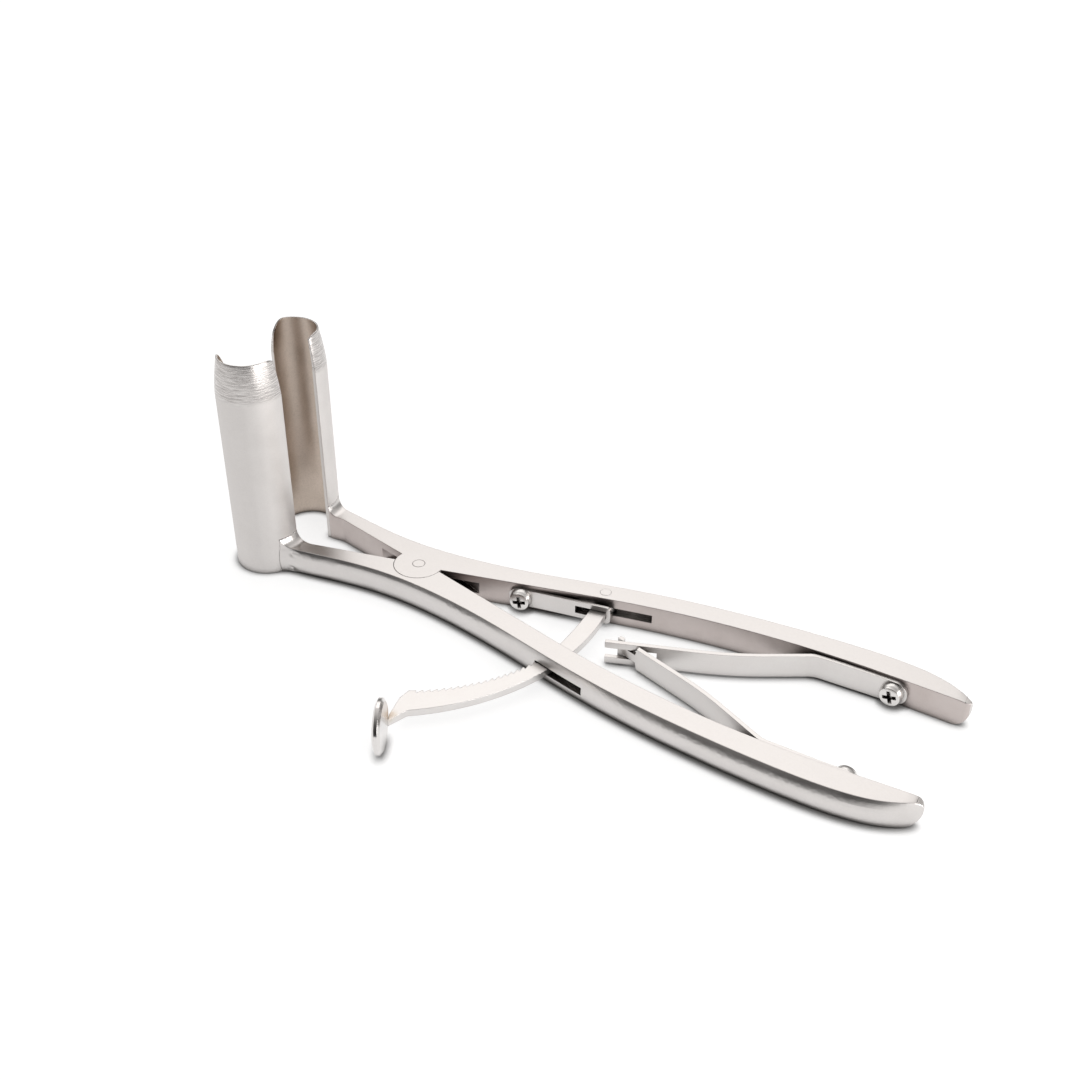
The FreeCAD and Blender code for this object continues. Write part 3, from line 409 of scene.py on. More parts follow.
@dataclass(frozen=True)
class Steel:
    """A steel finish: its colour, how satin it is, its grain, its edges, marks of its making, and painted
    shade deep in its slots and seams.

    Attributes:
        name: The material's name.
        colour: Colour of the bare metal.
        shade: Colour of the cloudy patches.
        roughness: Roughness of the face.
        grain: Depth of the blasted pits, in millimetres.
        edge_radius: How far an edge is rounded, in millimetres.
        edge_roughness: Roughness of a rubbed edge.
        cavity_shade_reach: How far across a slot may be and still be painted dark inside as shade, in
            millimetres.
        mottle: How much darker the blasted pits are than the face, from 0 to 1.
        band: Height at which a ground band starts, or None.
        tint: Centre and radius of a heat tint, or None.
    """

    name: str
    colour: tuple = (0.70, 0.675, 0.66)
    shade: tuple = (0.655, 0.63, 0.615)
    roughness: float = 0.34
    grain: float = 0.004
    edge_radius: float = 0.22
    edge_roughness: float = 0.2
    cavity_shade_reach: float = 5.0
    mottle: float = 0.04
    band: float | None = None
    tint: tuple | None = None

    @functools.cache
    def material(self) -> bpy.types.Material:
        """Build the finish's material once.

        Returns:
            The material.
        """
        made = bpy.data.materials.new(self.name)
        tree = empty_tree(made)
        grain = tree.add("ShaderNodeGroup", node_tree=BlastedGrain.build())
        rounded = tree.add("ShaderNodeBevel", {"Radius": self.edge_radius * MM}, samples=BEVEL_SAMPLES)
        wear = tree.add("ShaderNodeGroup", {"Rounded": rounded.outputs[0]}, node_tree=EdgeWear.build())
        rubbed = wear.outputs["Mask"]
        colour = tree.mix(grain.outputs["Cloud"], (*self.shade, 1.0), (*self.colour, 1.0))
        colour = tree.mix(tree.math("MULTIPLY", grain.outputs["Pits"], self.mottle), colour, PIT_COLOUR)
        smoothest = self.roughness - CLOUD_ROUGHNESS / 2
        rough = tree.math("MULTIPLY_ADD", grain.outputs["Cloud"], CLOUD_ROUGHNESS, smoothest)
        height = grain.outputs["Height"]
        if self.band:
            band = tree.add("ShaderNodeGroup", {"Bottom": self.band}, node_tree=GroundBand.build())
            ground, lines = band.outputs["Mask"], band.outputs["Lines"]
            streak = tree.math("MULTIPLY", ground, tree.math("SUBTRACT", 1.0, lines))
            colour = tree.mix(tree.math("MULTIPLY", streak, STREAK_SHARE), colour, STREAK_COLOUR)
            rough = tree.math("SUBTRACT", rough, tree.math("MULTIPLY", ground, BAND_POLISH))
            height = tree.math("MULTIPLY_ADD", tree.math("MULTIPLY", lines, ground), RIDGE_HEIGHT, height)
        if self.tint:
            spot = {"Centre": self.tint[0], "Radius": self.tint[1]}
            heat = tree.add("ShaderNodeGroup", spot, node_tree=HeatTint.build())
            colour = tree.mix(heat.outputs["Mask"], colour, heat.outputs["Color"])
        colour = tree.mix(tree.math("MULTIPLY", rubbed, RUBBED_SHARE), colour, RUBBED_COLOUR)
        rubbing = tree.math("MULTIPLY", rubbed, self.edge_roughness - self.roughness)
        rough = tree.math("ADD", rough, rubbing)
        # Painted shade: the colour goes near black deep in slots and seams, where ambient occlusion finds
        # little open sky
        painted_cavity_shade = tree.add("ShaderNodeGroup", {"Reach": self.cavity_shade_reach * MM}, node_tree=CavityShade.build())
        colour = tree.mix(painted_cavity_shade.outputs["Mask"], colour, CAVITY_SHADE_COLOUR)
        bump = tree.add("ShaderNodeBump", {
            "Height": height, "Distance": self.grain * MM, "Strength": 1.0, "Normal": rounded.outputs[0]})
        shader = tree.add("ShaderNodeBsdfPrincipled", {
            "Base Color": colour, "Metallic": 1.0, "Roughness": rough, "Normal": bump.outputs[0]})
        tree.add("ShaderNodeOutputMaterial", {0: shader.outputs[0]})
        return made


def dress(node: str, finish: Steel) -> None:
    """Give a solid of the frame its finish.

    Args:
        node: The solid's name.
        finish: The finish to give it.
    """
    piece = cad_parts[node]
    piece.data.materials.clear()
    piece.data.materials.append(finish.material())
    LOG.info("%s wears %s", node, finish.name)


def put_in_scene(name: str, data: bpy.types.ID) -> bpy.types.Object:
    """Put a mesh, a lamp or a camera in the scene.

    Args:
        name: The object's name.
        data: What it shows.

    Returns:
        The new object.
    """
    made = bpy.data.objects.new(name, data)
    bpy.context.scene.collection.objects.link(made)
    return made


def mesh_piece(name: str, form: bmesh.types.BMesh, finish: Steel) -> bpy.types.Object:
    """Turn a bmesh into a piece with a finish.

    Args:
        name: The piece's name.
        form: Its faces, in metres, in the frame.
        finish: The finish to give it.

    Returns:
        The new object, linked to the scene.
    """
    mesh = bpy.data.meshes.new(name)
    form.to_mesh(mesh)
    form.free()
    mesh.materials.append(finish.material())
    piece = put_in_scene(name, mesh)
    return piece


def settle(piece: bpy.types.Object) -> None:
    """Apply a piece's modifiers, so that a plain mesh is left.

    Args:
        piece: The object whose modifiers are applied and removed.
    """
    bpy.context.view_layer.update()
    graph = bpy.context.evaluated_depsgraph_get()
    final = bpy.data.meshes.new_from_object(piece.evaluated_get(graph))
    final.name = piece.name
    piece.modifiers.clear()
    piece.data = final


def grow(piece: bpy.types.Object, tree: bpy.types.NodeTree, given: dict) -> None:
    """Run a geometry tree on a piece and leave its result as a plain mesh.

    Args:
        piece: The object.
        tree: The geometry tree.
        given: Values for the tree's inputs, by name.
    """
    modifier = piece.modifiers.new(tree.name, "NODES")
    modifier.node_group = tree
    for item in tree.interface.items_tree:
        if item.name in given:
            modifier[item.identifier] = given[item.name]
    settle(piece)


def smooth_faces(piece: bpy.types.Object, angle: float) -> None:
    """Shade a piece smooth across its gentle edges.

    Args:
        piece: The object to shade.
        angle: Edges sharper than this stay crisp, in degrees.
    """
    for face in piece.data.polygons:
        face.use_smooth = True
    piece.data.set_sharp_from_angle(angle=math.radians(angle))


def shade_by_area(piece: bpy.types.Object, angle: float) -> None:
    """Shade a piece smooth across its gentle turns and flat on its wide faces.

    Each corner takes the mean normal of the faces round it that lean less than the angle from its own face,
    weighed by their areas.

    Args:
        piece: The object to shade.
        angle: Faces that lean more than this from each other are shaded apart, in degrees.
    """
    mesh = piece.data
    around: list[list] = [[] for _vertex in mesh.vertices]
    for face in mesh.polygons:
        face.use_smooth = True
        for corner in face.vertices:
            around[corner].append((face.normal.copy(), face.area))
    least = math.cos(math.radians(angle))
    normals = []
    for face in mesh.polygons:
        for corner in face.vertices:
            near = [normal * area for normal, area in around[corner] if normal.dot(face.normal) > least]
            normals.append(sum(near, Vector()).normalized())
    mesh.normals_split_custom_set(normals)


def round_edges(piece: bpy.types.Object, width: float, angle: float) -> None:
    """Round a piece's sharp edges and shade it.

    Args:
        piece: The object to round.
        width: Width of the rounding, in metres.
        angle: Edges sharper than this are rounded, in degrees.
    """
    bevel = piece.modifiers.new("rounding", "BEVEL")
    bevel.width = width
    bevel.segments = 2
    bevel.limit_method = "ANGLE"
    bevel.angle_limit = math.radians(angle)
    settle(piece)
    shade_by_area(piece, angle + SHADE_MARGIN)


def welded_copy(node: str) -> bmesh.types.BMesh:
    """Copy a solid of the frame with its loose triangles joined.

    Args:
        node: The solid's name.

    Returns:
        The copy, as a bmesh.
    """
    form = bmesh.new()
    form.from_mesh(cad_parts[node].data)
    bmesh.ops.remove_doubles(form, verts=form.verts, dist=WELD_REACH)
    return form


def blade_centre(side: int) -> Vector:
    """Give the middle of a blade's foot.

    Args:
        side: 1 for the blade behind, -1 for the blade in front.

    Returns:
        The point on the blade's axis at the underside.
    """
    turn = math.radians(OPEN_HALF_ANGLE)
    return Vector((-math.cos(turn), side * math.sin(turn), 0.0)) * Blades.distance


def arm_thickness() -> float:
    """Give the thickness of the arms at the joint, which is the rivet's length."""
    low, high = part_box("pivot_rivet")
    return high.z - low.z


@dataclass
class Arms:
    """The two arms with the box joint, its rivet and the ratchet bar's pin.

    The arms are copies of their solids whose outer sides are ground rounder, as the photograph shows them.
    Their inner faces carry painted shade.
    """

    finish: Steel = Steel("satin_steel_face")
    # Painted shade: the faces that look towards the other arm wear this darker, browner copy of the finish
    inner_painted_shade_finish: Steel = Steel("satin_steel_inner_painted_shade", colour=(0.56, 0.505, 0.485),
                                shade=(0.5, 0.445, 0.425))
    rivet_finish: Steel = Steel("rivet_steel_face", edge_radius=0.1, roughness=0.33)
    edge_round: float = 0.12 * MM
    edge_angle: float = 35.0
    shortest_edge: float = 0.06 * MM
    flat_angle: float = 0.3
    level_share: float = 0.9999
    crown: float = 0.75 * MM
    crown_power: float = 3.0
    crown_fade: tuple = (-41 * MM, -30 * MM, 20 * MM, 49 * MM)
    crown_step: float = 2 * MM
    crown_depth: float = 1.6 * MM
    crown_share: float = 0.4
    levels: int = 12
    levels_share: float = 0.3
    nose: float = 4.6 * MM
    nose_bend: float = 1.7 * MM
    nose_tip: float = 0.3
    crisp_tip: float = 0.9 * MM
    nose_steps: int = 7
    nose_middle: float = 0.38
    nose_foot: float = 3.2 * MM
    nose_top: float = 0.7 * MM
    slice_reach: float = 0.02 * MM
    shade_angle: float = 45.0
    inner_shade_share: float = 0.6
    seam_reach: float = 10.2 * MM

    def crown_at(self, place: float) -> float:
        """Give how much the outer side is crowned beyond its solid.

        Args:
            place: Place along X.

        Returns:
            The crown, in metres.
        """
        start, full, fall, end = self.crown_fade
        rise = min(max((place - start) / (full - start), 0.0), 1.0)
        drop = min(max((end - place) / (end - fall), 0.0), 1.0)
        return self.crown * rise * rise * (3 - 2 * rise) * drop * drop * (3 - 2 * drop)

    def cut_levels(self, form: bmesh.types.BMesh, side: int, thickness: float) -> None:
        """Cut an arm's outer side at even heights, so that it can be crowned.

        Args:
            form: The arm.
            side: 1 for the arm behind, -1 for the arm in front.
            thickness: The arm's thickness.
        """
        for level in range(1, self.levels):
            outer = [face for face in form.faces if side * face.normal.y > self.levels_share]
            edges = {edge for face in outer for edge in face.edges}
            corners = {vertex for edge in edges for vertex in edge.verts}
            height = thickness * level / self.levels
            bmesh.ops.bisect_plane(form, geom=[*corners, *edges, *outer], plane_co=(0, 0, height),
                                   plane_no=(0, 0, 1))
        form.normal_update()

    def round_side(self, form: bmesh.types.BMesh, side: int, thickness: float) -> None:
        """Crown an arm's outer side.

        Args:
            form: The arm.
            side: 1 for the arm behind, -1 for the arm in front.
            thickness: The arm's thickness.
        """
        step = self.crown_step
        reach: dict[int, float] = {}
        for vertex in form.verts:
            near = round(vertex.co.x / step)
            for bin_number in (near - 1, near, near + 1):
                reach[bin_number] = max(reach.get(bin_number, -1.0), side * vertex.co.y)
        moves = {}
        for vertex in form.verts:
            crown = self.crown_at(vertex.co.x)
            outermost = reach[round(vertex.co.x / step)] - side * vertex.co.y < self.crown_depth
            if crown == 0 or not outermost or not 0 < vertex.co.z < thickness:
                continue
            faces = [face for face in vertex.link_faces if side * face.normal.y > self.crown_share]
            if not faces:
                continue
            out = sum((face.normal * face.calc_area() for face in faces), Vector())
            out.z = 0.0
            height = abs(2 * vertex.co.z / thickness - 1)
            moves[vertex] = out.normalized() * crown * (1 - height ** self.crown_power)
        for vertex, move in moves.items():
            vertex.co += move

    def round_nose(self, form: bmesh.types.BMesh, side: int, thickness: float) -> None:
        """Narrow the end of a handle to a rounded nose and lift its foot.

        Args:
            form: The arm.
            side: 1 for the arm behind, -1 for the arm in front.
            thickness: The arm's thickness.
        """
        end = max(vertex.co.x for vertex in form.verts)
        start = end - self.nose
        steps = [math.sin(math.pi / 2 * step / self.nose_steps) for step in range(self.nose_steps)]
        cuts = {start + self.nose * step for step in steps}
        cuts |= {end - self.nose_bend * (1 - step) for step in steps}
        for place in sorted(cuts):
            everything = form.verts[:] + form.edges[:] + form.faces[:]
            bmesh.ops.bisect_plane(form, geom=everything, plane_co=(place, 0, 0), plane_no=(1, 0, 0))
        middles = []
        for place in (start, end):
            near = [vertex for vertex in form.verts if abs(vertex.co.x - place) < self.slice_reach]
            slice_y = [side * vertex.co.y for vertex in near]
            inner, outer = min(slice_y), max(slice_y)
            middles.append(side * (inner + (outer - inner) * self.nose_middle))
        for vertex in form.verts:
            along = (vertex.co.x - start) / self.nose
            if along <= 0:
                continue
            middle = middles[0] + (middles[1] - middles[0]) * along
            rise = 1 - math.sqrt(max(1 - along * along, 0.0))
            foot = self.nose_foot * rise
            top = thickness - self.nose_top * rise
            bend = max((vertex.co.x - end) / self.nose_bend + 1, 0.0)
            narrowing = (1 - self.nose_tip) * (1 - math.sqrt(max(1 - bend * bend, 0.0)))
            vertex.co.y = middle + (vertex.co.y - middle) * (1 - narrowing)
            vertex.co.z = foot + vertex.co.z / thickness * (top - foot)

    def soften_edges(self, form: bmesh.types.BMesh, blade_axis: Vector) -> None:
        """Join an arm's level faces and round its sharp edges, except at the nose's tip and the blade's seam.

        Args:
            form: The arm.
            blade_axis: Middle of the blade that the arm carries.
        """
        form.normal_update()
        flat = [edge for edge in form.edges
                if all(abs(face.normal.z) > self.level_share for face in edge.link_faces)]
        bend = math.radians(self.flat_angle)
        bmesh.ops.dissolve_limit(form, angle_limit=bend, verts=form.verts, edges=flat)
        bmesh.ops.dissolve_degenerate(form, dist=self.shortest_edge, edges=form.edges)
        form.normal_update()
        tip_start = max(vertex.co.x for vertex in form.verts) - self.crisp_tip
        sharp = []
        for edge in form.edges:
            if len(edge.link_faces) != 2 or edge.calc_face_angle() < math.radians(self.edge_angle):
                continue
            middle = (edge.verts[0].co + edge.verts[1].co) / 2
            if middle.x < tip_start and (middle.xy - blade_axis.xy).length > self.seam_reach:
                sharp.append(edge)
        bmesh.ops.bevel(form, geom=sharp, offset=self.edge_round, offset_type="OFFSET", segments=2,
                        profile=0.5, affect="EDGES", clamp_overlap=False, material=-1)
        form.normal_update()

    def forge(self, node: str, side: int) -> None:
        """Copy an arm's solid, crown its side, round its nose and soften its edges.

        Args:
            node: The solid's name.
            side: 1 for the arm behind, -1 for the arm in front.
        """
        form = welded_copy(node)
        thickness = arm_thickness()
        form.normal_update()
        self.cut_levels(form, side, thickness)
        self.round_side(form, side, thickness)
        self.round_nose(form, side, thickness)
        self.soften_edges(form, blade_centre(side))
        # Painted shade: faces that look towards the other arm take the darker second material
        for face in form.faces:
            face.material_index = int(side * face.normal.y < -self.inner_shade_share)
        piece = mesh_piece(node + "_forging", form, self.finish)
        piece.data.materials.append(self.inner_painted_shade_finish.material())
        shade_by_area(piece, self.shade_angle)
        body = Body.BACK if side > 0 else Body.FRONT
        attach(piece, body.value)
        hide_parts(node)
        LOG.info("%s: %d faces", piece.name, len(piece.data.polygons))

    def build(self) -> None:
        """Make the arms and dress the rivet and the pin."""
        for node, side in (("back_arm", 1), ("front_arm", -1)):
            self.forge(node, side)
        for node in ("pivot_rivet", "ratchet_pin"):
            dress(node, self.rivet_finish)


@dataclass
class Blades:
    """The two half-tube blades, each a sheet bent round its axis by a geometry tree and given its wall, with
    painted shade on its lining.
    """

    outside: Steel = Steel("blade_steel_face", roughness=0.46, band=54.0 * MM)
    # Painted shade: the lining is a darker, browner copy of the steel, standing for the shade inside the half
    # tube
    inside: Steel = Steel("blade_inside_painted_shade", colour=(0.62, 0.53, 0.46), shade=(0.53, 0.45, 0.385),
                          roughness=0.38, grain=0.008, mottle=0.16)
    distance: float = 47.2 * MM
    outer_radius: float = 9.5 * MM
    rim_radius: float = 8.0 * MM
    wall: float = 1.3 * MM
    rim_wall: float = 0.45 * MM
    height: float = 65.0 * MM
    band_height: float = 11.0 * MM
    band_bend: float = 1.5
    parting_gap: float = 0.1 * MM
    inner_corner: tuple = (3.0 * MM, 1.0 * MM)
    outer_corner: tuple = (3.9 * MM, 4.2 * MM)
    corner_bend: float = 2.0
    columns: int = 73
    rows: int = 80
    seam_weld: float = 0.001 * MM
    edge_round: float = 0.13 * MM
    edge_angle: float = 40.0

    def tree(self) -> bpy.types.NodeTree:
        """Build the geometry tree of a blade.

        Returns:
            The tree.
        """
        inputs = {
            "Outer Radius": self.outer_radius, "Rim Radius": self.rim_radius, "Wall": self.wall,
            "Rim Wall": self.rim_wall, "Height": self.height, "Band Height": self.band_height,
            "Parting Gap": self.parting_gap,
            "Inner Corner Width": self.inner_corner[0], "Inner Corner Drop": self.inner_corner[1],
            "Outer Corner Width": self.outer_corner[0], "Outer Corner Drop": self.outer_corner[1],
            "Side": 1.0, "Turn": 0.0, "Place": "NodeSocketVector",
            "Outside": "NodeSocketMaterial", "Inside": "NodeSocketMaterial",
        }
        outputs = {"Blade": "NodeSocketGeometry"}
        tree, entry, leave = new_group("half_tube_blade", "GeometryNodeTree", inputs, outputs)
        size = entry.outputs
        sheet = tree.add("GeometryNodeMeshGrid", {
            "Size X": 1.0, "Size Y": 1.0, "Vertices X": self.columns, "Vertices Y": self.rows})
        sheet_x, sheet_y, _level = tree.corner()
        across = tree.math("ADD", sheet_x, 0.5)
        up = tree.math("ADD", sheet_y, 0.5)
        height = tree.math("MULTIPLY", up, size["Height"])
        band_start = tree.math("SUBTRACT", size["Height"], size["Band Height"])
        above = tree.math("SUBTRACT", height, band_start)
        into_band = tree.math("DIVIDE", above, size["Band Height"], clamp=True)
        taper = tree.math("POWER", into_band, self.band_bend)
        narrowing = tree.math("SUBTRACT", size["Rim Radius"], size["Outer Radius"])
        radius = tree.math("MULTIPLY_ADD", taper, narrowing, size["Outer Radius"])
        gap_angle = tree.math("ARCSINE", tree.math("DIVIDE", size["Parting Gap"], radius))
        sweep = tree.math("SUBTRACT", math.pi, tree.math("MULTIPLY", gap_angle, 2.0))
        angle = tree.math("MULTIPLY_ADD", across, sweep, gap_angle)
        along = tree.math("COSINE", angle)
        aside = tree.math("MULTIPLY", tree.math("SINE", angle), size["Side"])
        handle_side = tree.math("GREATER_THAN", along, 0.0)
        corner = []
        for name in ("Width", "Drop"):
            pair = {0: handle_side, 2: size["Outer Corner " + name], 3: size["Inner Corner " + name]}
            corner.append(tree.add("ShaderNodeMix", pair, data_type="FLOAT").outputs[0])
        off_edge = tree.math("ABSOLUTE", tree.math("MULTIPLY", aside, radius))
        from_edge = tree.math("DIVIDE", off_edge, corner[0], clamp=True)
        fall = tree.math("POWER", tree.math("SUBTRACT", 1.0, from_edge), self.corner_bend)
        drop = tree.math("MULTIPLY", tree.math("MULTIPLY", fall, corner[1]), into_band)
        point = tree.vector(tree.math("MULTIPLY", along, radius), tree.math("MULTIPLY", aside, radius),
                            tree.math("SUBTRACT", height, drop))
        bent = tree.add("GeometryNodeSetPosition", {"Geometry": sheet.outputs["Mesh"], "Position": point})
        bent_x, bent_y, bent_z = tree.corner()
        flat = tree.vector(bent_x, bent_y)
        inward = tree.add("ShaderNodeVectorMath", {0: flat}, operation="NORMALIZE").outputs[0]
        bent_above = tree.math("SUBTRACT", bent_z, band_start)
        share = tree.math("DIVIDE", bent_above, size["Band Height"], clamp=True)
        thinning = tree.math("SUBTRACT", size["Rim Wall"], size["Wall"])
        wall = tree.math("MULTIPLY_ADD", share, thinning, size["Wall"])
        depth = tree.add("ShaderNodeVectorMath", {0: inward, 3: tree.math("MULTIPLY", wall, -1.0)},
                         operation="SCALE")
        thick = tree.add("GeometryNodeExtrudeMesh", {
            "Mesh": bent.outputs[0], "Offset": depth.outputs[0], "Offset Scale": 1.0, "Individual": False},
            mode="FACES")
        marked = tree.add("GeometryNodeStoreNamedAttribute", {
            "Geometry": thick.outputs["Mesh"], "Name": "lining", "Value": thick.outputs["Top"]},
            data_type="BOOLEAN", domain="FACE")
        both = tree.add("GeometryNodeJoinGeometry", {0: marked.outputs[0]})
        tree.link(bent.outputs[0], both.inputs[0])
        closed = tree.add("GeometryNodeMergeByDistance", {
            "Geometry": both.outputs[0], "Distance": self.seam_weld})
        stood = tree.add("GeometryNodeTransform", {
            "Geometry": closed.outputs[0], "Translation": size["Place"],
            "Rotation": tree.vector(0.0, 0.0, size["Turn"])})
        real = tree.add("GeometryNodeRealizeInstances", {0: stood.outputs[0]})
        lining = tree.add("GeometryNodeInputNamedAttribute", {"Name": "lining"}, data_type="BOOLEAN")
        whole = tree.add("GeometryNodeSetMaterial", {
            "Geometry": real.outputs[0], "Material": size["Outside"]})
        # Painted shade: the lining faces take the darker Inside material
        dressed = tree.add("GeometryNodeSetMaterial", {
            "Geometry": whole.outputs[0], "Selection": lining.outputs[0], "Material": size["Inside"]})
        tree.link(dressed.outputs[0], leave.inputs[0])
        return tree.tree

    def blade(self, node: str, side: int, tree: bpy.types.NodeTree) -> None:
        """Make one blade in its solid's place.

        Args:
            node: The solid's name.
            side: 1 for the blade behind, -1 for the blade in front.
            tree: The geometry tree that makes it.
        """
        piece = mesh_piece(node + "_shell", bmesh.new(), self.outside)
        grow(piece, tree, {
            "Side": float(side), "Turn": math.radians(-side * OPEN_HALF_ANGLE), "Place": blade_centre(side),
            "Outside": self.outside.material(), "Inside": self.inside.material(),
        })
        form = bmesh.new()
        form.from_mesh(piece.data)
        bmesh.ops.recalc_face_normals(form, faces=form.faces)
        form.to_mesh(piece.data)
        form.free()
        round_edges(piece, self.edge_round, self.edge_angle)
        body = Body.BACK if side > 0 else Body.FRONT
        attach(piece, body.value)
        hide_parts(node)
        LOG.info("%s: %d faces", piece.name, len(piece.data.polygons))

    def build(self) -> None:
        """Make both blades."""
        tree = self.tree()
        for node, side in (("back_blade", 1), ("front_blade", -1)):
            self.blade(node, side, tree)


@dataclass
class Ratchet:
    """The toothed bar and its thumb plate, with the heat tint of the brazed neck between them."""

    neck_way: tuple = (-0.5, 1.0, 0.0)
    neck_reach: float = 6.5 * MM
    bar_tint: float = 4.5 * MM
    plate_tint: float = 3.4 * MM

    def build(self) -> None:
        """Dress the bar and the plate."""
        low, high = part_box("thumb_plate")
        neck = tuple((low + high) / 2 + Vector(self.neck_way).normalized() * self.neck_reach)
        bar = Steel("ratchet_steel_face", colour=(0.73, 0.71, 0.695), shade=(0.68, 0.655, 0.64),
                    tint=(neck, self.bar_tint))
        plate = Steel("polished_steel_face", colour=(0.72, 0.70, 0.685), shade=(0.68, 0.66, 0.65),
                      roughness=0.16, grain=0.001, tint=(neck, self.plate_tint))
        dress("ratchet_bar", bar)
        dress("thumb_plate", plate)


@dataclass
class LeafSprings:
    """The three leaf springs, copied from their solids, cut finely along their length so that they bend."""

    finish: Steel = Steel("spring_steel_face", colour=(0.68, 0.66, 0.645), roughness=0.3, edge_radius=0.12)
    cut_step: float = 2.0 * MM
    flat_angle: float = 0.2
    edge_round: float = 0.14 * MM
    edge_angle: float = 50.0
    middle_height: float = 4 * MM
    foot_back: float = 24 * MM
    foot_aside: float = 17 * MM
    clamp_reach: float = 9 * MM
    touch_reach: float = 14 * MM

    def copy(self, node: str) -> bpy.types.Object:
        """Copy a spring's solid as a piece with many cuts across it.

        Args:
            node: The solid's name.

        Returns:
            The copy, which stands for the solid.
        """
        form = welded_copy(node)
        bmesh.ops.dissolve_limit(form, angle_limit=math.radians(self.flat_angle), verts=form.verts,
                                 edges=form.edges)
        low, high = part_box(node)
        place = low.x + self.cut_step
        while place < high.x - self.cut_step / 2:
            everything = form.verts[:] + form.edges[:] + form.faces[:]
            bmesh.ops.bisect_plane(form, geom=everything, plane_co=(place, 0, 0), plane_no=(1, 0, 0))
            place += self.cut_step
        piece = mesh_piece(node + "_leaf", form, self.finish)
        round_edges(piece, self.edge_round, self.edge_angle)
        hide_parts(node)
        return piece

    def build(self) -> None:
        """Build the springs and bake their places into their meshes."""
        for node, side in (("back_handle_spring", 1), ("front_handle_spring", -1)):
            leaf = self.copy(node)
            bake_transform(leaf)
            LOG.info("%s bends between the arms", leaf.name)
        leaf = self.copy("ratchet_spring")
        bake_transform(leaf)
        LOG.info("%s bends between the back arm and the bar", leaf.name)


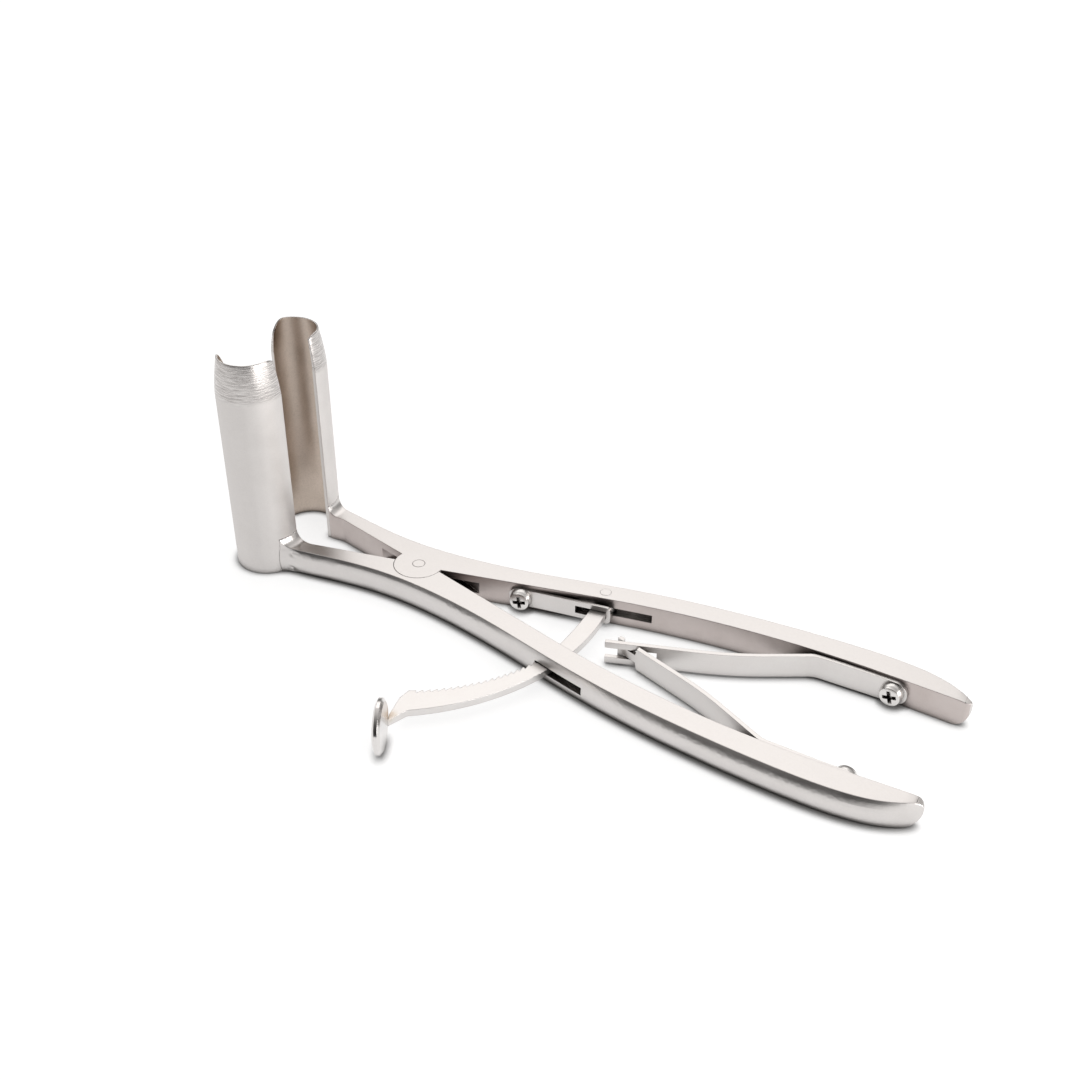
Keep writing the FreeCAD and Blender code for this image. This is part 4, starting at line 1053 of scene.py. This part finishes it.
@dataclass
class Screws:
    """Pan head screws with a cross recess, one mesh for each body."""

    finish: Steel = Steel("screw_steel_face", colour=(0.74, 0.725, 0.71), shade=(0.68, 0.665, 0.65),
                          roughness=0.3, edge_radius=0.12, grain=0.002)
    head_radius: float = 3.0 * MM
    head_height: float = 2.4 * MM
    head_sides: int = 40
    head_rings: int = 6
    face_rings: int = 7
    dome_start: float = -0.1
    dome_droop: float = 0.1
    dome_pull: float = 0.12
    recess_size: float = 3.9 * MM
    recess_width: float = 1.1 * MM
    recess_depth: float = 1.4 * MM
    recess_taper: float = 0.4
    cutter_overshoot: float = 0.3 * MM
    rim_depth: float = 0.01 * MM
    crisp_angle: float = 32.0

    def seat(self, node: str, facing: Vector) -> Vector:
        """Find the middle of a screw head's top from its solid.

        Args:
            node: The screw's name.
            facing: Direction that the head looks in.

        Returns:
            The middle of the head's top.
        """
        across = Vector((0, 0, 1)).cross(facing)
        corners = [vertex.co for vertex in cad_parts[node].data.vertices]
        top = max(corner.dot(facing) for corner in corners)
        rim = [corner.dot(across) for corner in corners if top - corner.dot(facing) < self.rim_depth]
        middle = (min(rim) + max(rim)) / 2
        low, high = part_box(node)
        return facing * top + across * middle + Vector((0, 0, (low.z + high.z) / 2))

    def head(self, tree: Tree, size: bpy.types.bpy_prop_collection) -> bpy.types.NodeSocket:
        """Add the nodes of a domed head.

        Args:
            tree: The screws' tree.
            size: Sockets of its inputs.

        Returns:
            The head's mesh, with its middle at the origin.
        """
        head = tree.add("GeometryNodeMeshCylinder", {
            "Vertices": self.head_sides, "Side Segments": self.head_rings, "Fill Segments": self.face_rings,
            "Radius": size["Head Radius"], "Depth": size["Head Height"]})
        x, y, z = tree.corner()
        square = tree.math("ADD", tree.math("MULTIPLY", x, x), tree.math("MULTIPLY", y, y))
        share = tree.math("DIVIDE", square, tree.math("MULTIPLY", size["Head Radius"], size["Head Radius"]))
        upper = tree.ramp(tree.math("DIVIDE", z, size["Head Height"]), self.dome_start, 0.5)
        droop = tree.math("MULTIPLY", tree.math("MULTIPLY", tree.math("POWER", share, 2.0), upper),
                          tree.math("MULTIPLY", size["Head Height"], -self.dome_droop))
        drawn_in = tree.math("MULTIPLY", tree.math("MULTIPLY", upper, share), self.dome_pull)
        pull = tree.math("SUBTRACT", 1.0, drawn_in)
        moved = tree.vector(tree.math("MULTIPLY", x, pull), tree.math("MULTIPLY", y, pull),
                            tree.math("ADD", z, droop))
        domed = tree.add("GeometryNodeSetPosition", {"Geometry": head.outputs["Mesh"], "Position": moved})
        return domed.outputs[0]

    def cutter(self, tree: Tree, size: bpy.types.bpy_prop_collection) -> bpy.types.NodeSocket:
        """Add the nodes of the cross that cuts the recess.

        Args:
            tree: The screws' tree.
            size: Sockets of its inputs.

        Returns:
            The cross's mesh, in its place at the head's top.
        """
        cutter_height = tree.math("ADD", size["Recess Depth"], self.cutter_overshoot)
        bars = []
        for sides in (("Recess Size", "Recess Width"), ("Recess Width", "Recess Size")):
            box = tree.vector(size[sides[0]], size[sides[1]], cutter_height)
            bars.append(tree.add("GeometryNodeMeshCube", {"Size": box}).outputs["Mesh"])
        cross = tree.add("GeometryNodeMeshBoolean", {"Mesh 2": bars[0]}, operation="UNION", solver="EXACT")
        tree.link(bars[1], cross.inputs["Mesh 2"])
        x, y, z = tree.corner()
        deep = tree.math("LESS_THAN", z, 0.0)
        narrow = tree.math("SUBTRACT", 1.0, tree.math("MULTIPLY", deep, self.recess_taper))
        taper = tree.vector(tree.math("MULTIPLY", x, narrow), tree.math("MULTIPLY", y, narrow), z)
        pointed = tree.add("GeometryNodeSetPosition", {"Geometry": cross.outputs[0], "Position": taper})
        drop = tree.math("MULTIPLY_ADD", cutter_height, -0.5, self.cutter_overshoot)
        top = tree.vector(0.0, 0.0, tree.math("MULTIPLY_ADD", size["Head Height"], 0.5, drop))
        raised = tree.add("GeometryNodeTransform", {"Geometry": pointed.outputs[0], "Translation": top})
        return raised.outputs[0]

    def tree(self) -> bpy.types.NodeTree:
        """Build the geometry tree that sets a screw on every point of a mesh.

        Returns:
            The tree.
        """
        inputs = {
            "Points": "NodeSocketGeometry", "Head Radius": self.head_radius, "Head Height": self.head_height,
            "Recess Size": self.recess_size, "Recess Width": self.recess_width,
            "Recess Depth": self.recess_depth, "Material": "NodeSocketMaterial",
        }
        outputs = {"Screws": "NodeSocketGeometry"}
        tree, entry, leave = new_group("pan_head_screws", "GeometryNodeTree", inputs, outputs)
        size = entry.outputs
        head_and_cutter = {"Mesh 1": self.head(tree, size), "Mesh 2": self.cutter(tree, size)}
        cut = tree.add("GeometryNodeMeshBoolean", head_and_cutter, operation="DIFFERENCE", solver="EXACT")
        facing = tree.add("GeometryNodeInputNamedAttribute", {"Name": "facing"}, data_type="FLOAT_VECTOR")
        spin = tree.add("GeometryNodeInputNamedAttribute", {"Name": "spin"}, data_type="FLOAT")
        aim = tree.add("FunctionNodeAlignRotationToVector", {"Vector": facing.outputs[0]}, axis="Z")
        axis_turn = tree.add("FunctionNodeAxisAngleToRotation", {"Axis": (0, 0, 1), "Angle": spin.outputs[0]})
        turned = tree.add("FunctionNodeRotateRotation", {0: aim.outputs[0], 1: axis_turn.outputs[0]},
                          rotation_space="LOCAL")
        points = tree.add("GeometryNodeMeshToPoints", {"Mesh": size["Points"]})
        many = tree.add("GeometryNodeInstanceOnPoints", {
            "Points": points.outputs[0], "Instance": cut.outputs[0], "Rotation": turned.outputs[0]})
        real = tree.add("GeometryNodeRealizeInstances", {0: many.outputs[0]})
        dressed = tree.add("GeometryNodeSetMaterial", {
            "Geometry": real.outputs[0], "Material": size["Material"]})
        tree.link(dressed.outputs[0], leave.inputs[0])
        return tree.tree

    def set_of(self, name: str, body: Body, places: list[tuple], tree: bpy.types.NodeTree) -> None:
        """Make one body's screws.

        Args:
            name: Name of the piece.
            body: The body that the screws ride on.
            places: Node, heading of the face that it is in, and turn of the recess, for each screw.
            tree: The geometry tree that makes them.
        """
        form = bmesh.new()
        facing_layer = form.verts.layers.float_vector.new("facing")
        spin_layer = form.verts.layers.float.new("spin")
        for node, heading, spin in places:
            facing = Vector((math.cos(math.radians(heading)), math.sin(math.radians(heading)), 0))
            vertex = form.verts.new(self.seat(node, facing) - facing * self.head_height / 2)
            vertex[facing_layer] = facing
            vertex[spin_layer] = math.radians(spin)
        piece = mesh_piece(name, form, self.finish)
        grow(piece, tree, {"Material": self.finish.material()})
        smooth_faces(piece, self.crisp_angle)
        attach(piece, body.value)
        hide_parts(*[node for node, _heading, _spin in places])
        LOG.info("%s: %d screws", name, len(places))

    def build(self) -> None:
        """Make the screws of both arms."""
        tree = self.tree()
        back = [
            ("ratchet_spring_screw", HANDLE_FACE_ANGLE - 90, 20.0),
            ("back_spring_screw", -HANDLE_END_ANGLE - 90, 12.0),
        ]
        self.set_of("back_arm_screws", Body.BACK, back, tree)
        front = [("front_spring_screw", HANDLE_END_ANGLE + 90, 30.0)]
        self.set_of("front_arm_screw", Body.FRONT, front, tree)


@dataclass
class Studio:
    """White sweep, soft lamps and the camera at the photograph's place."""

    camera_place: tuple = (0.18290, -0.25130, 0.22273)
    azimuth: float = 29.787
    elevation: float = 33.765
    roll: float = 0.462
    lens: float = 44.79
    sensor: float = 36.0
    clip: tuple = (0.01, 50.0)
    floor_size: float = 6.0
    floor_drop: float = 0.02 * MM
    floor_colour: tuple = (0.45, 0.45, 0.45, 1.0)
    floor_glow: float = 0.78
    shadow_reach: float = 2.6 * MM
    shadow_core: float = 0.35
    level_light: float = 0.22
    overhead_light: float = 0.86
    overhead_rise: tuple = (0.1, 0.8)
    front_share: float = 0.12
    front_fade: tuple = (-0.8, 0.5)
    light_colour: tuple = (1.0, 0.975, 0.955, 1.0)
    lamp_colour: tuple = (1.0, 0.985, 0.97)
    lamp_target: tuple = (0.04, 0.0, 0.02)

    def camera(self) -> None:
        """Stand the camera where the photograph was taken from."""
        data = bpy.data.cameras.new("photo_camera")
        data.lens = self.lens
        data.sensor_width = self.sensor
        data.clip_start, data.clip_end = self.clip
        camera = put_in_scene("photo_camera", data)
        side, rise, roll = (math.radians(angle) for angle in (self.azimuth, self.elevation, self.roll))
        ahead = Vector((-math.sin(side) * math.cos(rise), math.cos(side) * math.cos(rise), -math.sin(rise)))
        right = Vector((math.cos(side), math.sin(side), 0.0))
        up = right.cross(ahead)
        tilted_right = right * math.cos(roll) + up * math.sin(roll)
        tilted_up = up * math.cos(roll) - right * math.sin(roll)
        turn = Matrix((tilted_right, tilted_up, -ahead)).transposed()
        camera.matrix_world = Matrix.Translation(self.camera_place) @ turn.to_4x4()
        bpy.context.scene.camera = camera

    def floor(self) -> None:
        """Lay a white floor that keeps the object's shadow, with a painted contact shadow where ambient
        occlusion fades its glow near the object.
        """
        half = self.floor_size / 2
        form = bmesh.new()
        places = ((-half, -half), (half, -half), (half, half), (-half, half))
        form.faces.new([form.verts.new((x, y, 0.0)) for x, y in places])
        mesh = bpy.data.meshes.new("floor")
        form.to_mesh(mesh)
        form.free()
        made = bpy.data.materials.new("white_floor")
        tree = empty_tree(made)
        path = tree.add("ShaderNodeLightPath")
        seen = tree.math("MAXIMUM", path.outputs["Is Camera Ray"], path.outputs["Is Glossy Ray"])
        paper = tree.add("ShaderNodeBsdfDiffuse", {"Color": self.floor_colour})
        # Painted shadow: ambient occlusion takes the glow away within shadow_reach of the object, for camera
        # and glossy rays alike
        around = tree.add("ShaderNodeAmbientOcclusion", {"Distance": self.shadow_reach}, samples=8)
        glow_beyond_painted_shadow = tree.ramp(around.outputs["AO"], self.shadow_core, 1.0, 0.0, self.floor_glow)
        glow = tree.add("ShaderNodeEmission", {
            "Color": (1.0, 1.0, 1.0, 1.0), "Strength": tree.math("MULTIPLY", seen, glow_beyond_painted_shadow)})
        both = tree.add("ShaderNodeAddShader", {0: paper.outputs[0], 1: glow.outputs[0]})
        tree.add("ShaderNodeOutputMaterial", {0: both.outputs[0]})
        mesh.materials.append(made)
        floor = put_in_scene("floor", mesh)
        floor.location.z = -self.floor_drop

    def sky(self) -> None:
        """Surround the object with a soft studio: bright overhead and behind, darker level and in front."""
        world = bpy.data.worlds.new("studio")
        bpy.context.scene.world = world
        tree = empty_tree(world)
        path = tree.add("ShaderNodeLightPath")
        way = tree.add("ShaderNodeTexCoord").outputs["Generated"]
        side = math.radians(self.azimuth)
        behind = tree.add("ShaderNodeVectorMath", {0: way, 1: (-math.sin(side), math.cos(side), 0.0)},
                          operation="DOT_PRODUCT").outputs["Value"]
        overhead = tree.ramp(tree.split(way)[2], *self.overhead_rise, self.level_light, self.overhead_light)
        front = tree.ramp(behind, *self.front_fade, self.front_share, 1.0)
        level = tree.math("MULTIPLY", overhead, front)
        shown = {0: path.outputs["Is Camera Ray"], 2: level, 3: 1.0}
        strength = tree.add("ShaderNodeMix", shown, data_type="FLOAT")
        light = tree.add("ShaderNodeBackground", {
            "Color": self.light_colour, "Strength": strength.outputs[0]})
        tree.add("ShaderNodeOutputWorld", {0: light.outputs[0]})

    def lamp(self, name: str, place: tuple, size: tuple, power: float) -> None:
        """Hang a soft rectangular lamp that looks at the object.

        Args:
            name: The lamp's name.
            place: Where it hangs.
            size: Its width and height.
            power: Its power in watts.
        """
        data = bpy.data.lights.new(name, "AREA")
        data.shape = "RECTANGLE"
        data.size, data.size_y = size
        data.energy = power
        data.color = self.lamp_colour
        lamp = put_in_scene(name, data)
        lamp.location = place
        aim = Vector(self.lamp_target) - Vector(place)
        lamp.rotation_euler = aim.to_track_quat("-Z", "Y").to_euler()
        lamp.visible_camera = False

    def build(self) -> None:
        """Set up the camera, the floor and the light."""
        self.camera()
        self.floor()
        self.sky()
        self.lamp("back_softbox", place=(-0.4, 0.75, 0.85), size=(1.2, 0.8), power=2.5)
        self.lamp("right_softbox", place=(0.82, -0.04, 0.2), size=(0.9, 0.4), power=5.0)
        view = bpy.context.scene.view_settings
        view.view_transform = "Standard"
        LOG.info("studio is set")


def main() -> None:
    """Build the studio and every sub-assembly."""
    logging.basicConfig(level=logging.INFO, format="%(name)s: %(message)s")
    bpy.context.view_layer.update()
    Studio().build()
    Arms().build()
    Blades().build()
    Ratchet().build()
    LeafSprings().build()
    Screws().build()


if __name__ == "__main__":
    main()
